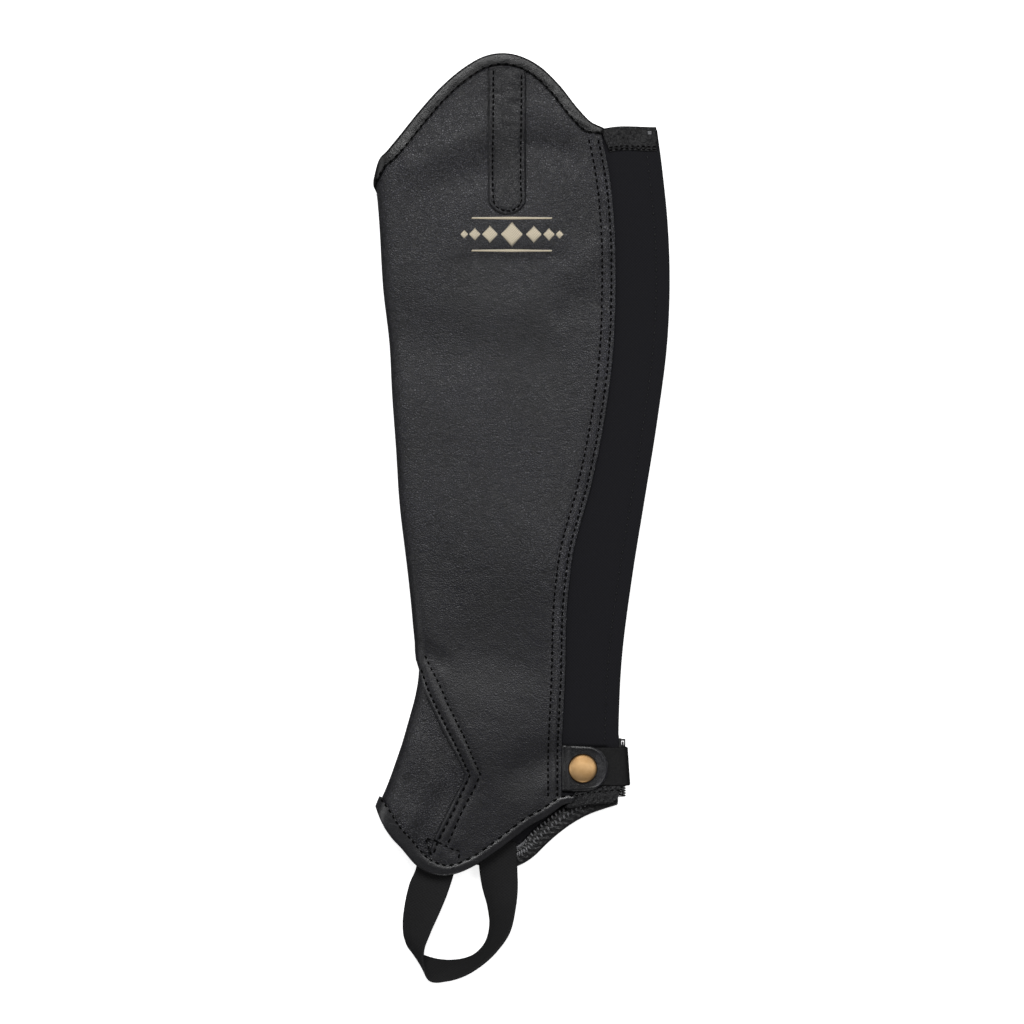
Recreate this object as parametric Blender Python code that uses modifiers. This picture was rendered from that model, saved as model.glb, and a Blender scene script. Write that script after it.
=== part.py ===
"""One half chap, zipped, snapped and laid flat on its inner side.

The leather is a tube pressed flat: a roll along the shin, a level far wall on the floor and a near
wall that falls towards the zip. Every sheet is a loft of that tube's surface, thickened inwards.
X is across the leg (shin fold to zip), Y is up the leg, Z is up from the floor. Sizes are in mm in
the tables and become metres when a mesh is made.
"""

import math

import bmesh
import bpy
import numpy as np
from mathutils import Vector

METRES_PER_MM = 0.001
COLLECTION_NAME = "half_chap"
CUTTER_COLLECTION_NAME = "half_chap_cutters"

# Thicknesses and seam gap, mm
LEATHER = 1.6
ELASTIC = 1.4
BINDING = 1.0
TAPE = 1.0
WEBBING = 1.4
STRAP_LEATHER = 1.2
TAB_LEATHER = 1.4
SEAM_GAP = 0.3
FOLD_GAP = 0.46

# Depths below the tube's outer face, mm
UNDER_LEATHER = LEATHER + SEAM_GAP
UNDER_ELASTIC = UNDER_LEATHER + ELASTIC + SEAM_GAP

# Shin fold in plan: (y, x)
FOLD_LINE = [
    (-152.6, -75.8), (-141.0, -71.0), (-132.5, -67.8), (-117.7, -62.6), (-105.0, -59.2),
    (-92.0, -57.3), (-72.0, -56.3), (-54.1, -57.6), (-11.7, -61.8), (30.7, -65.6),
    (73.1, -69.3), (115.5, -73.0), (157.9, -75.3), (178.1, -76.9), (200.0, -77.4),
]
# Back edge of the stretch panel in plan: (y, x)
BACK_EDGE = [
    (-155.0, 51.6), (-115.5, 51.9), (-75.3, 53.7), (-32.9, 59.0), (9.5, 65.8), (51.9, 72.6),
    (94.3, 77.9), (126.0, 79.1), (157.9, 77.9), (187.6, 74.8), (210.9, 71.8), (250.0, 69.4),
]
# Back edge of the leather on the near side in plan: (y, x)
LEATHER_BACK_EDGE = [
    (-151.1, 21.4), (-120.3, 21.7), (-84.8, 23.3), (-42.4, 24.7), (-18.6, 27.6), (17.0, 37.1),
    (52.5, 44.3), (88.0, 48.8), (128.8, 50.1), (152.1, 49.6), (182.9, 46.6), (205.9, 41.9),
]
# Cut edges of the leather in plan: (x, y)
NEAR_TOP_EDGE = [
    (-76.9, 178.1), (-74.7, 186.6), (-70.0, 192.9), (-64.7, 199.3), (-51.9, 215.2), (-40.3, 227.9),
    (-28.9, 237.4), (-19.6, 242.7), (-10.1, 244.6), (-0.5, 243.0), (10.1, 237.2), (19.6, 227.9),
    (29.7, 215.2), (36.3, 208.6), (41.9, 205.9),
]
NEAR_BOTTOM_EDGE = [
    (-75.8, -152.6), (-73.1, -158.5), (-67.8, -167.0), (-62.0, -173.4), (-54.3, -182.3),
    (-46.6, -186.7), (-40.8, -187.9), (-34.5, -186.8), (-24.9, -182.7), (-14.6, -176.0),
    (-4.0, -168.0), (3.4, -162.4), (13.0, -157.0), (21.4, -151.1),
]
FAR_TOP_EDGE = [
    (-76.9, 178.1), (-73.1, 172.8), (-64.1, 169.1), (-48.2, 167.0), (-27.0, 169.6), (-5.8, 176.0),
    (15.4, 185.5), (36.6, 195.0), (55.1, 201.9), (71.2, 205.0),
]
FAR_BOTTOM_EDGE = [
    (-75.8, -152.6), (-70.0, -160.6), (-58.8, -171.2), (-42.9, -178.6), (-29.7, -181.7),
    (-16.4, -183.9), (-8.5, -184.6), (-3.2, -184.1), (1.4, -182.2), (7.0, -178.2), (11.2, -174.0),
    (17.5, -168.2), (26.0, -161.8), (34.0, -157.2), (45.1, -153.0), (51.1, -151.2),
]
ELASTIC_TOP_EDGE = [(33.0, 195.5), (38.5, 200.5), (42.6, 204.6), (46.0, 205.4), (71.8, 205.9)]
ELASTIC_BOTTOM_EDGE = [(13.5, -143.0), (18.5, -147.5), (23.4, -151.6), (36.0, -150.8), (50.9, -149.6)]
HEM_TOP_FROM = (43.4, 205.4)
HEM_BOTTOM_FROM = (24.2, -151.6)
# Pointed instep seam, edge of the main panel in plan on the near side: (x, y)
INSTEP_SEAM = [
    (-55.1, -77.9), (-51.4, -91.2), (-46.1, -101.8), (-40.8, -113.4), (-36.0, -121.9),
    (-30.6, -132.0), (-28.9, -136.2), (-30.7, -140.5), (-33.0, -144.7), (-38.7, -155.8),
    (-43.5, -165.4), (-46.6, -173.3),
]
INSTEP_NOTCH_Y = -74.5
INSTEP_SEAM_FOOT = (-49.3, -182.3)
FAR_SEAM_SHARE = 0.92
INSTEP_LAP = 10.0
LAP_MARGIN = 5.0
INSTEP_TOP_Y = -66.0
INSTEP_HOLD = 5.0
INSTEP_DEPTH = 2.15
INSTEP_SETTLE = 14.0

# Roll along the shin: (y, radius)
ROLL_RADIUS = [(-190.0, 8.4), (-140.0, 8.6), (-75.0, 7.6), (0.0, 7.2), (120.0, 7.6), (250.0, 7.2)]
BACK_HEIGHT = 10.1
# Soft hollows and swells of the near wall: (x, y, half length x, half length y, height)
NEAR_SWELLS = [
    (-6.0, 128.0, 34.0, 12.0, -1.1), (18.0, 170.0, 30.0, 60.0, 0.9), (-20.0, 70.0, 45.0, 70.0, 0.9),
    (-28.0, -62.0, 34.0, 22.0, -0.9), (0.0, -20.0, 26.0, 60.0, 0.6), (-16.0, -118.0, 22.0, 26.0, 0.8),
]

# The far wall lifts this much at its bound edges and over the snap strap, mm
EDGE_CLEAR = 0.15
EDGE_LIFT = BINDING + FOLD_GAP + EDGE_CLEAR
LIFT_HOLD = 9.0
LIFT_RUN = 14.0
STRAP_LIFT = STRAP_LEATHER + 2.0 * SEAM_GAP
STRAP_LIFT_FROM_Y = -148.0
STRAP_LIFT_TO_Y = -118.0
STRAP_LIFT_X = 36.0
STRAP_LIFT_FADE = 11.0

# Bindings: width of the leg outside and inside, mm
BINDING_OUTER_LEG = 4.7
BINDING_INNER_LEG = 5.5
TAPE_INNER_LEG = 9.6
TAPE_OUTER_LEG = 6.0
HEM_TOP_LEG = 11.4
HEM_BOTTOM_LEG = 6.4
HEM_INNER_LEG = 3.0
LEG_END_RUN = 18.0
LEG_END_SHARE = 0.1
STRIP_CORNER = 0.35
HEM_TAPE_FROM = (-20.0, -183.9)
HEM_TAPE_CLEAR = 1.5 * FOLD_GAP

# Calf strip, mm
CALF_STRIP_LEFT_X = -17.5
CALF_STRIP_RIGHT_X = 2.7
CALF_STRIP_CLEAR = 1.1
CALF_STRIP_FOOT_Y = 160.4
CALF_STRIP_THICKNESS = 1.0
CALF_STRIP_ROUND = 0.94

# Zip, mm: the chain stands on edge between the two walls
CHAIN_OUTER_INSET = 0.3
CHAIN_DEPTH = 2.2
CHAIN_TOP_Y = 197.0
CHAIN_FAR_GAP = 0.7
CHAIN_FOOT_Y = -124.0
TAPE_WIDTH = 13.0
FAR_TAPE_FOOT_Y = -112.0
NEAR_TAPE_FOOT_Y = -144.0
NEAR_TAPE_TOP_Y = 198.5
FAR_TAPE_TOP_Y = 196.0
FAR_TAPE_CLEAR = 0.2
LEATHER_BACK_INSET = 0.5

# Slider and pull tab in their own frame at the chain's foot, mm
SLIDER_Y = -123.2
SLIDER_Z = 4.7
SLIDER_LENGTH = 12.2
SLIDER_WIDTH = 5.4
SLIDER_PLATE = 1.2
SLIDER_OUT = 0.3
SLIDER_LOWER = 0.3
SLIDER_EDGE = 0.15
SLIDER_INNER_WIDTH = 1.3
SLIDER_POST = 4.6
BAIL_FROM_Y = -121.4
BAIL_TO_Y = -117.3
BAIL_LEG = 1.0
BAIL_OUT = 3.7
BAIL_THICKNESS = 0.75
BAIL_CLEAR = 0.05
PULL_IN = 1.85
PULL_THICKNESS = 0.85
PULL_WIDTH = 4.2
PULL_EYE_HALF = 1.3
PULL_EYE_OVER = 1.0
PULL_EDGE = 0.2
PULL_TOP_Y = -118.75
PULL_FOOT_Y = -147.6

# Snap tab, strap and cap, mm
TAB_LEFT_X = 22.1
TAB_CENTRE_Y = -132.6
TAB_HALF_ROOT = 12.2
TAB_HALF_END = 11.6
TAB_TIP_X = 46.0
TAB_ROUND = 10.0
TAB_TIP_NARROWER = 0.62
TAB_RISE_FROM_X = 22.6
TAB_RISE_TO_X = 27.5
STRAP_LEFT_X = 28.6
STRAP_TOP_Y = -121.9
STRAP_FOOT_Y = -141.5
STRAP_OUT_TOP = 5.0
STRAP_OUT_FOOT = 6.4
STRAP_UNDER = 11.0
STRAP_TURN_CLEAR = 0.4
STRAP_TURN_POWER = 0.75
CAP_X = 32.6
CAP_Y = -132.5
CAP_RADIUS = 7.8
# Snap cap outline: (radius share, height)
CAP_OUTLINE = [
    (0.0, 2.9), (0.3, 2.8), (0.58, 2.45), (0.8, 1.8), (0.93, 1.05), (1.0, 0.45), (0.97, 0.05),
    (0.86, 0.0), (0.0, 0.0),
]
CAP_STEPS = 32

# Stirrup strap, one row per section: edge that starts outside (x, y, z), other edge (x, y, z)
STIRRUP_SECTIONS = [
    (-56.5, -171.0, 8.6, -33.5, -174.0, 8.6),
    (-55.0, -185.0, 9.0, -36.0, -188.0, 9.2),
    (-58.6, -194.0, 8.2, -39.2, -198.2, 9.6),
    (-61.5, -206.7, 4.8, -43.5, -208.8, 11.2),
    (-62.5, -217.3, 1.6, -48.2, -219.4, 12.8),
    (-61.5, -223.7, 0.9, -51.6, -228.4, 15.2),
    (-58.2, -229.8, 0.8, -51.2, -238.2, 15.0),
    (-51.4, -233.0, 0.8, -48.2, -244.3, 14.6),
    (-41.3, -235.4, 0.8, -38.6, -244.1, 17.0),
    (-31.8, -235.0, 0.8, -29.2, -240.9, 18.4),
    (-23.9, -231.9, 0.8, -19.6, -234.6, 19.0),
    (-18.6, -225.8, 0.8, -12.7, -227.9, 18.7),
    (-16.4, -217.3, 0.8, -6.6, -219.4, 16.7),
    (-17.5, -206.7, 1.2, -3.2, -206.7, 13.0),
    (-20.0, -197.0, 2.6, -2.2, -197.2, 9.0),
    (-21.6, -186.6, 5.6, -2.4, -187.0, 6.2),
    (-22.0, -172.0, 6.0, -3.0, -172.0, 6.0),
]

# Mesh counts
ROLL_COLUMNS = 4
NEAR_ROLL_SHARE = 0.1
FAR_ROLL_SHARE = 0.08
NEAR_FLAT_COLUMNS = 13
FAR_FLAT_COLUMNS = 14
ROWS_BELOW_NOTCH = 14
ROWS_ABOVE_NOTCH = 20
CLOSER_BELOW = 1.8
CLOSER_ABOVE = 1.35
NEAR_CLOSER = 1.25
INSTEP_ROWS = 16
INSTEP_COLUMNS = 24
ELASTIC_ROWS = 22
ELASTIC_COLUMN_SHARES = [0.0, 0.22, 0.42, 0.6, 0.8, 1.0]
CALF_ROWS = 11
CALF_COLUMNS = 8
ZIP_ROWS = 25
ZIP_TAPE_COLUMNS = 3
CHAIN_ROWS = 26
TAB_STRAIGHT_STEPS = 5
TAB_ROUND_STEPS = 6
TAB_ROWS = 6
STRAP_TOP_STEPS = 5
STRAP_TURN_STEPS = 8
STRAP_UNDER_STEPS = 4
STRAP_ROWS = 4
STIRRUP_ROWS = 40
STIRRUP_COLUMNS = 3
# Spacing of the folded strips' sections, mm
HEM_SPACING = 4.6
TOP_BINDING_SPACING = 5.6
BOTTOM_BINDING_SPACING = 5.0
HEM_TAPE_SPACING = 4.2
EDGE_SPACING = 1.0
ROLL_REACH = 15.0
ROLL_CLOSER = 3.0
TANGENT_STEP = 1.0
EDGE_SAMPLES = 241
DIFFERENCE_STEP = 0.05


def ease(share):
    """Rises from 0 to 1 with level ends."""
    held = np.clip(share, 0.0, 1.0)
    return held * held * (3.0 - 2.0 * held)


def curve_through(keys, values, at):
    """A smooth curve through the rows, keys rising, held straight beyond its ends."""
    keys = np.asarray(keys, float)
    values = np.asarray(values, float)
    at = np.asarray(at, float)
    steps = np.diff(keys)
    slopes = np.diff(values) / steps
    tangents = np.empty(len(keys))
    tangents[0] = slopes[0]
    tangents[-1] = slopes[-1]
    before = steps[:-1]
    after = steps[1:]
    tangents[1:-1] = (slopes[:-1] * after + slopes[1:] * before) / (before + after)
    held = np.clip(at, keys[0], keys[-1])
    i = np.clip(np.searchsorted(keys, held, side="right") - 1, 0, len(steps) - 1)
    t = (held - keys[i]) / steps[i]
    rise = ease(t)
    value = values[i] * (1.0 - rise) + values[i + 1] * rise
    value = value + steps[i] * t * (1.0 - t) * (tangents[i] * (1.0 - t) - tangents[i + 1] * t)
    value = value + np.minimum(at - keys[0], 0.0) * tangents[0]
    return value + np.maximum(at - keys[-1], 0.0) * tangents[-1]


def table_curve(table, at):
    """A two-column table as a smooth curve of its first column."""
    columns = np.array(table).T
    return curve_through(columns[0], columns[1], at)


def fold_x(y):
    return table_curve(FOLD_LINE, y)


def back_x(y):
    return table_curve(BACK_EDGE, y)


def roll_radius(y):
    return table_curve(ROLL_RADIUS, y)


def window(value, low, high, fade):
    """1 between low and high, easing to 0 over the fade outside them."""
    return ease((value - low) / fade + 1.0) * ease((high - value) / fade + 1.0)


def far_lift(x, y):
    """How far the far wall stands off the floor, at its bound edges and over the snap strap."""
    to_edge = np.minimum(table_curve(FAR_TOP_EDGE, x) - y, y - table_curve(FAR_BOTTOM_EDGE, x))
    edge = EDGE_LIFT * (1.0 - ease((to_edge - LIFT_HOLD) / LIFT_RUN))
    strap = window(y, STRAP_LIFT_FROM_Y, STRAP_LIFT_TO_Y, STRAP_LIFT_FADE)
    strap = STRAP_LIFT * strap * ease((x - STRAP_LIFT_X) / STRAP_LIFT_FADE + 1.0)
    return np.maximum(edge, strap)


def near_height(x, y):
    """Height of the near wall's outer face beyond the roll."""
    radius = roll_radius(y)
    start = fold_x(y) + radius
    share = (x - start) / (back_x(y) - start)
    height = 2.0 * radius - (2.0 * radius - BACK_HEIGHT) * ease(share)
    held = ease(share * 4.0) * ease((1.0 - share) * 4.0)
    for at_x, at_y, half_x, half_y, rise in NEAR_SWELLS:
        height = height + held * rise * np.exp(-(((x - at_x) / half_x) ** 2) - ((y - at_y) / half_y) ** 2)
    return height


def tube_point(reach, y):
    """Points of the tube's outer face.

    reach is the length along the leather from the shin fold, positive on the near side.
    """
    radius = roll_radius(y)
    angle = np.clip(np.abs(reach) / radius, 0.0, math.pi / 2)
    level = np.maximum(np.abs(reach) - radius * math.pi / 2, 0.0)
    x = fold_x(y) + radius * (1.0 - np.cos(angle)) + level
    near = np.where(level > 0.0, near_height(x, y), radius + radius * np.sin(angle))
    far = radius - radius * np.sin(angle) + far_lift(x, y) * np.sin(angle) ** 2
    return np.stack([x, y + 0.0 * x, np.where(reach >= 0.0, near, far)], axis=-1)


def outward(reach, y):
    """Unit normals of the tube, pointing out of it."""
    step = DIFFERENCE_STEP
    along = tube_point(reach + step, y) - tube_point(reach - step, y)
    up = tube_point(reach, y + step) - tube_point(reach, y - step)
    normal = np.cross(along, up)
    return normal / np.linalg.norm(normal, axis=-1, keepdims=True)


def at_depth(reach, y, depth):
    """Points the given depth below the tube's outer face."""
    reach, y, depth = np.broadcast_arrays(
        np.asarray(reach, float), np.asarray(y, float), np.asarray(depth, float)
    )
    return tube_point(reach, y) - depth[..., None] * outward(reach, y)


def reach_of(x, y, side):
    """Length along the leather from the fold to the plan point, signed by side."""
    radius = roll_radius(y)
    across = np.maximum(x - fold_x(y), 0.0)
    curled = radius * np.arccos(np.clip(1.0 - across / radius, -1.0, 1.0))
    return side * np.where(across < radius, curled, across - radius + radius * math.pi / 2)


def dense_edge(table, side):
    """A plan table (x, y) as many points (reach, y) on one side of the tube."""
    columns = np.array(table).T
    x = np.linspace(columns[0][0], columns[0][-1], EDGE_SAMPLES)
    y = curve_through(columns[0], columns[1], x)
    return np.stack([reach_of(x, y, side), y], axis=-1)


def cut_at(edge, reach):
    """Height of an edge at a given reach."""
    order = np.argsort(edge[:, 0])
    return np.interp(reach, edge[order, 0], edge[order, 1])


def part_of(edge, from_reach, to_reach):
    """The stretch of an edge between two reaches, in that direction."""
    reaches = np.linspace(from_reach, to_reach, EDGE_SAMPLES)
    return np.stack([reaches, cut_at(edge, reaches)], axis=-1)


def by_share(line, axis, shares):
    """Points of a line at shares of its way along one axis."""
    key = line[:, axis]
    wanted = key[0] + (key[-1] - key[0]) * np.asarray(shares)
    order = np.argsort(key)
    other = 1 - axis
    found = np.interp(wanted, key[order], line[order, other])
    pair = [None, None]
    pair[axis] = wanted
    pair[other] = found
    return np.stack(pair, axis=-1)


def patch(left, right, bottom, top, columns, rows):
    """A grid filled between four edge lines; left and right are given per row."""
    low = by_share(bottom, 0, columns)
    high = by_share(top, 0, columns)
    grid = []
    for i, v in enumerate(rows):
        u = np.asarray(columns)[:, None]
        edge = (1 - u) * left[i] + u * right[i]
        ends = (1 - v) * low + v * high
        corner_low = (1 - u) * left[0] + u * right[0]
        corner_high = (1 - u) * left[-1] + u * right[-1]
        grid.append(edge + ends - (1 - v) * corner_low - v * corner_high)
    return np.array(grid)


def new_collection(name):
    made = bpy.data.collections.new(name)
    bpy.context.scene.collection.children.link(made)
    return made


def material(name, colour, roughness, metallic=0.0):
    made = bpy.data.materials.new(name)
    made.use_nodes = True
    shader = made.node_tree.nodes["Principled BSDF"]
    shader.inputs["Base Color"].default_value = (*colour, 1.0)
    shader.inputs["Roughness"].default_value = roughness
    shader.inputs["Metallic"].default_value = metallic
    made.diffuse_color = (*colour, 1.0)
    return made


BLACK_LEATHER = (0.038, 0.038, 0.041)
BLACK_CLOTH = (0.014, 0.014, 0.016)
BLACK_NYLON = (0.012, 0.012, 0.013)
BRASS = (0.62, 0.42, 0.2)
BLACK_ENAMEL = (0.02, 0.02, 0.022)
LEATHER_ROUGHNESS = 0.5
CLOTH_ROUGHNESS = 0.9
NYLON_ROUGHNESS = 0.6
METAL_ROUGHNESS = 0.3


def new_object(name, points, faces, finish):
    """A mesh object in the part's collection, from points in mm."""
    mesh = bpy.data.meshes.new(name)
    mesh.from_pydata([tuple(float(c) * METRES_PER_MM for c in p) for p in points], [], faces)
    mesh.materials.append(material(name, *finish))
    mesh.validate()
    made = bpy.data.objects.new(name, mesh)
    bpy.data.collections[COLLECTION_NAME].objects.link(made)
    return made


def turn_outwards(obj):
    shape = bmesh.new()
    shape.from_mesh(obj.data)
    bmesh.ops.recalc_face_normals(shape, faces=shape.faces)
    shape.to_mesh(obj.data)
    shape.free()


def thicken(obj, thickness, offset=-1.0):
    """Gives a sheet its thickness; offset -1 grows it inwards."""
    shell = obj.modifiers.new("Thickness", "SOLIDIFY")
    shell.thickness = thickness * METRES_PER_MM
    shell.offset = offset
    shell.use_rim = True


def sheet(name, grid, thickness, finish, offset=-1.0):
    """A sheet from rows of points, its outer side facing out of the tube."""
    rows, columns = grid.shape[:2]
    faces = []
    for i in range(rows - 1):
        for j in range(columns - 1):
            a = i * columns + j
            faces.append((a, a + 1, a + 1 + columns, a + columns))
    made = new_object(name, grid.reshape(-1, 3), faces, finish)
    thicken(made, thickness, offset)
    return made


def sweep(name, sections, finish):
    """A closed band through equal rings of points, with both ends filled."""
    count = len(sections)
    size = len(sections[0])
    faces = []
    for i in range(count - 1):
        for j in range(size):
            k = (j + 1) % size
            faces.append((i * size + j, i * size + k, (i + 1) * size + k, (i + 1) * size + j))
    faces.append(tuple(reversed(range(size))))
    faces.append(tuple(range((count - 1) * size, count * size)))
    made = new_object(name, np.array(sections).reshape(-1, 3), faces, finish)
    turn_outwards(made)
    return made


def spaced(line, spacing):
    """Points along a line (reach, y), closer on the roll, with unit tangents and lengths so far."""
    lengths = np.concatenate([[0.0], np.cumsum(np.linalg.norm(np.diff(line, axis=0), axis=1))])
    middle_reach = np.abs(line[1:, 0] + line[:-1, 0]) / 2.0
    steps = np.diff(lengths) * np.where(middle_reach < ROLL_REACH, ROLL_CLOSER, 1.0)
    weights = np.concatenate([[0.0], np.cumsum(steps)])
    count = max(2, int(round(weights[-1] / spacing)) + 1)
    wanted = np.interp(np.linspace(0.0, weights[-1], count), weights, lengths)
    points = np.stack([np.interp(wanted, lengths, line[:, k]) for k in (0, 1)], axis=-1)
    ahead = np.minimum(wanted + TANGENT_STEP, lengths[-1])
    behind = np.maximum(wanted - TANGENT_STEP, 0.0)
    tangents = np.stack(
        [np.interp(ahead, lengths, line[:, k]) - np.interp(behind, lengths, line[:, k]) for k in (0, 1)],
        axis=-1,
    )
    return points, tangents / np.linalg.norm(tangents, axis=1, keepdims=True), wanted


def folded_strip(name, line, inward_side, outer_leg, inner_leg, depths, finish, spacing):
    """A strip folded round a cut edge.

    outer_leg and inner_leg give the leg widths at a share of the way; depths gives the depth of the
    cloth's outer and inner face there. inward_side is +1 where the cloth lies left of the line.
    """
    points, tangents, along = spaced(line, spacing)
    sections = []
    for point, tangent, length in zip(points, tangents, along):
        share = length / along[-1]
        inward = inward_side * np.array([-tangent[1], tangent[0]])
        top, bottom = depths(share, length, along[-1])
        out_leg = outer_leg(share, length, along[-1])
        in_leg = inner_leg(share, length, along[-1])
        near = top - FOLD_GAP
        deep = bottom + FOLD_GAP
        profile = [
            (out_leg, near), (out_leg / 2.0, near), (-FOLD_GAP, near), (-FOLD_GAP, deep),
            (in_leg / 2.0, deep), (in_leg, deep), (in_leg, deep + BINDING), (in_leg / 2.0, deep + BINDING),
            (-FOLD_GAP - STRIP_CORNER, deep + BINDING), (-FOLD_GAP - BINDING, deep + STRIP_CORNER),
            (-FOLD_GAP - BINDING, near - STRIP_CORNER), (-FOLD_GAP - STRIP_CORNER, near - BINDING),
            (out_leg / 2.0, near - BINDING), (out_leg, near - BINDING),
        ]
        across = np.array(profile)
        reach = point[0] + across[:, 0] * inward[0]
        height = point[1] + across[:, 0] * inward[1]
        sections.append(at_depth(reach, height, across[:, 1]))
    return sweep(name, sections, finish)


def steady(value):
    return lambda share, length, whole: value


def edge_lines():
    """Every cut edge of the leather as points (reach, y)."""
    return {
        "near_top": dense_edge(NEAR_TOP_EDGE, 1.0),
        "near_bottom": dense_edge(NEAR_BOTTOM_EDGE, 1.0),
        "far_top": dense_edge(FAR_TOP_EDGE, -1.0),
        "far_bottom": dense_edge(FAR_BOTTOM_EDGE, -1.0),
    }


def seam_line(side, bottom_edge):
    """The pointed instep seam from its foot on the bottom edge up to the notch at the fold."""
    share = 1.0 if side > 0.0 else FAR_SEAM_SHARE
    rows = [(0.0, INSTEP_NOTCH_Y)]
    for x, y in INSTEP_SEAM:
        rows.append((float(reach_of(x, y, side)), INSTEP_NOTCH_Y + (y - INSTEP_NOTCH_Y) * share))
    foot_reach = float(reach_of(*INSTEP_SEAM_FOOT, side))
    rows.append((foot_reach, cut_at(bottom_edge, foot_reach)))
    rows = np.array(rows[::-1])
    y = np.linspace(rows[0, 1], rows[-1, 1], EDGE_SAMPLES)
    return np.stack([np.interp(y, rows[:, 1], rows[:, 0]), y], axis=-1)


def row_shares(count, closer):
    """Shares from 0 to 1 whose steps shrink towards 1."""
    return 1.0 - (1.0 - np.linspace(0.0, 1.0, count + 1)) ** closer


def panel_rows(lower, upper):
    """A boundary at every row: below the notch and above it."""
    below = by_share(lower, 1, row_shares(ROWS_BELOW_NOTCH, CLOSER_BELOW))
    above = by_share(upper, 1, row_shares(ROWS_ABOVE_NOTCH, CLOSER_ABOVE))
    return np.concatenate([below, above[1:]])


def straight(a, b):
    return np.linspace(a, b, EDGE_SAMPLES)


def upright(x_of_y, from_y, to_y, side):
    """A boundary that runs up the leg, as points (reach, y)."""
    y = np.linspace(from_y, to_y, EDGE_SAMPLES)
    return np.stack([reach_of(x_of_y(y), y, side), y], axis=-1)


def column_shares(side):
    """Shares of the way across one half: close together on the roll, then even."""
    roll = NEAR_ROLL_SHARE if side > 0.0 else FAR_ROLL_SHARE
    count = NEAR_FLAT_COLUMNS if side > 0.0 else FAR_FLAT_COLUMNS
    curled = np.linspace(0.0, roll, ROLL_COLUMNS + 1)
    closer = NEAR_CLOSER if side > 0.0 else 1.0
    return np.concatenate([curled, roll + (1.0 - roll) * row_shares(count, closer)[1:]])


def half_grid(side, edges):
    """Rows of (reach, y) of one half of the main panel, from the fold or the instep seam outwards."""
    name = "near" if side > 0.0 else "far"
    bottom_edge = edges[name + "_bottom"]
    top_edge = edges[name + "_top"]
    seam = seam_line(side, bottom_edge)
    fold = straight((0.0, INSTEP_NOTCH_Y), (0.0, top_edge[0, 1]))
    left = panel_rows(seam, fold)
    if side > 0.0:
        def outer_x(y):
            return table_curve(LEATHER_BACK_EDGE, y)
    else:
        def outer_x(y):
            return back_x(y) - LEATHER_BACK_INSET
    outer = upright(outer_x, bottom_edge[-1, 1], top_edge[-1, 1], side)
    lower = outer[outer[:, 1] <= INSTEP_NOTCH_Y]
    upper = outer[outer[:, 1] >= INSTEP_NOTCH_Y]
    meet = np.array([[np.interp(INSTEP_NOTCH_Y, outer[:, 1], outer[:, 0]), INSTEP_NOTCH_Y]])
    right = panel_rows(np.concatenate([lower, meet]), np.concatenate([meet, upper]))
    bottom = part_of(bottom_edge, left[0, 0], right[0, 0])
    top = part_of(top_edge, left[-1, 0], right[-1, 0])
    rise = (INSTEP_NOTCH_Y - outer[0, 1]) / (outer[-1, 1] - outer[0, 1])
    low = row_shares(ROWS_BELOW_NOTCH, CLOSER_BELOW) * rise
    high = rise + row_shares(ROWS_ABOVE_NOTCH, CLOSER_ABOVE)[1:] * (1.0 - rise)
    rows = np.concatenate([low, high])
    columns = column_shares(side)
    return patch(left, right, bottom, top, columns, rows)


def main_panel(edges):
    """The leather in one piece: both halves joined along the fold above the instep notch."""
    near = half_grid(1.0, edges)
    far = half_grid(-1.0, edges)
    rows = ROWS_BELOW_NOTCH + ROWS_ABOVE_NOTCH + 1
    points = []
    index = {}
    for side, grid in ((1, near), (-1, far)):
        for i in range(rows):
            for j in range(grid.shape[1]):
                shared = j == 0 and i >= ROWS_BELOW_NOTCH
                key = (0 if shared else side, i, j)
                if key in index:
                    continue
                index[key] = len(points)
                points.append(at_depth(grid[i, j, 0], grid[i, j, 1], 0.0))
    faces = []
    for side, grid in ((1, near), (-1, far)):
        for i in range(rows - 1):
            for j in range(grid.shape[1] - 1):
                corners = []
                for row, column in ((i, j), (i, j + 1), (i + 1, j + 1), (i + 1, j)):
                    shared = column == 0 and row >= ROWS_BELOW_NOTCH
                    corners.append(index[(0 if shared else side, row, column)])
                faces.append(tuple(corners) if side > 0 else tuple(reversed(corners)))
    made = new_object("main_panel", points, faces, (BLACK_LEATHER, LEATHER_ROUGHNESS))
    thicken(made, LEATHER)
    return made


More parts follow.
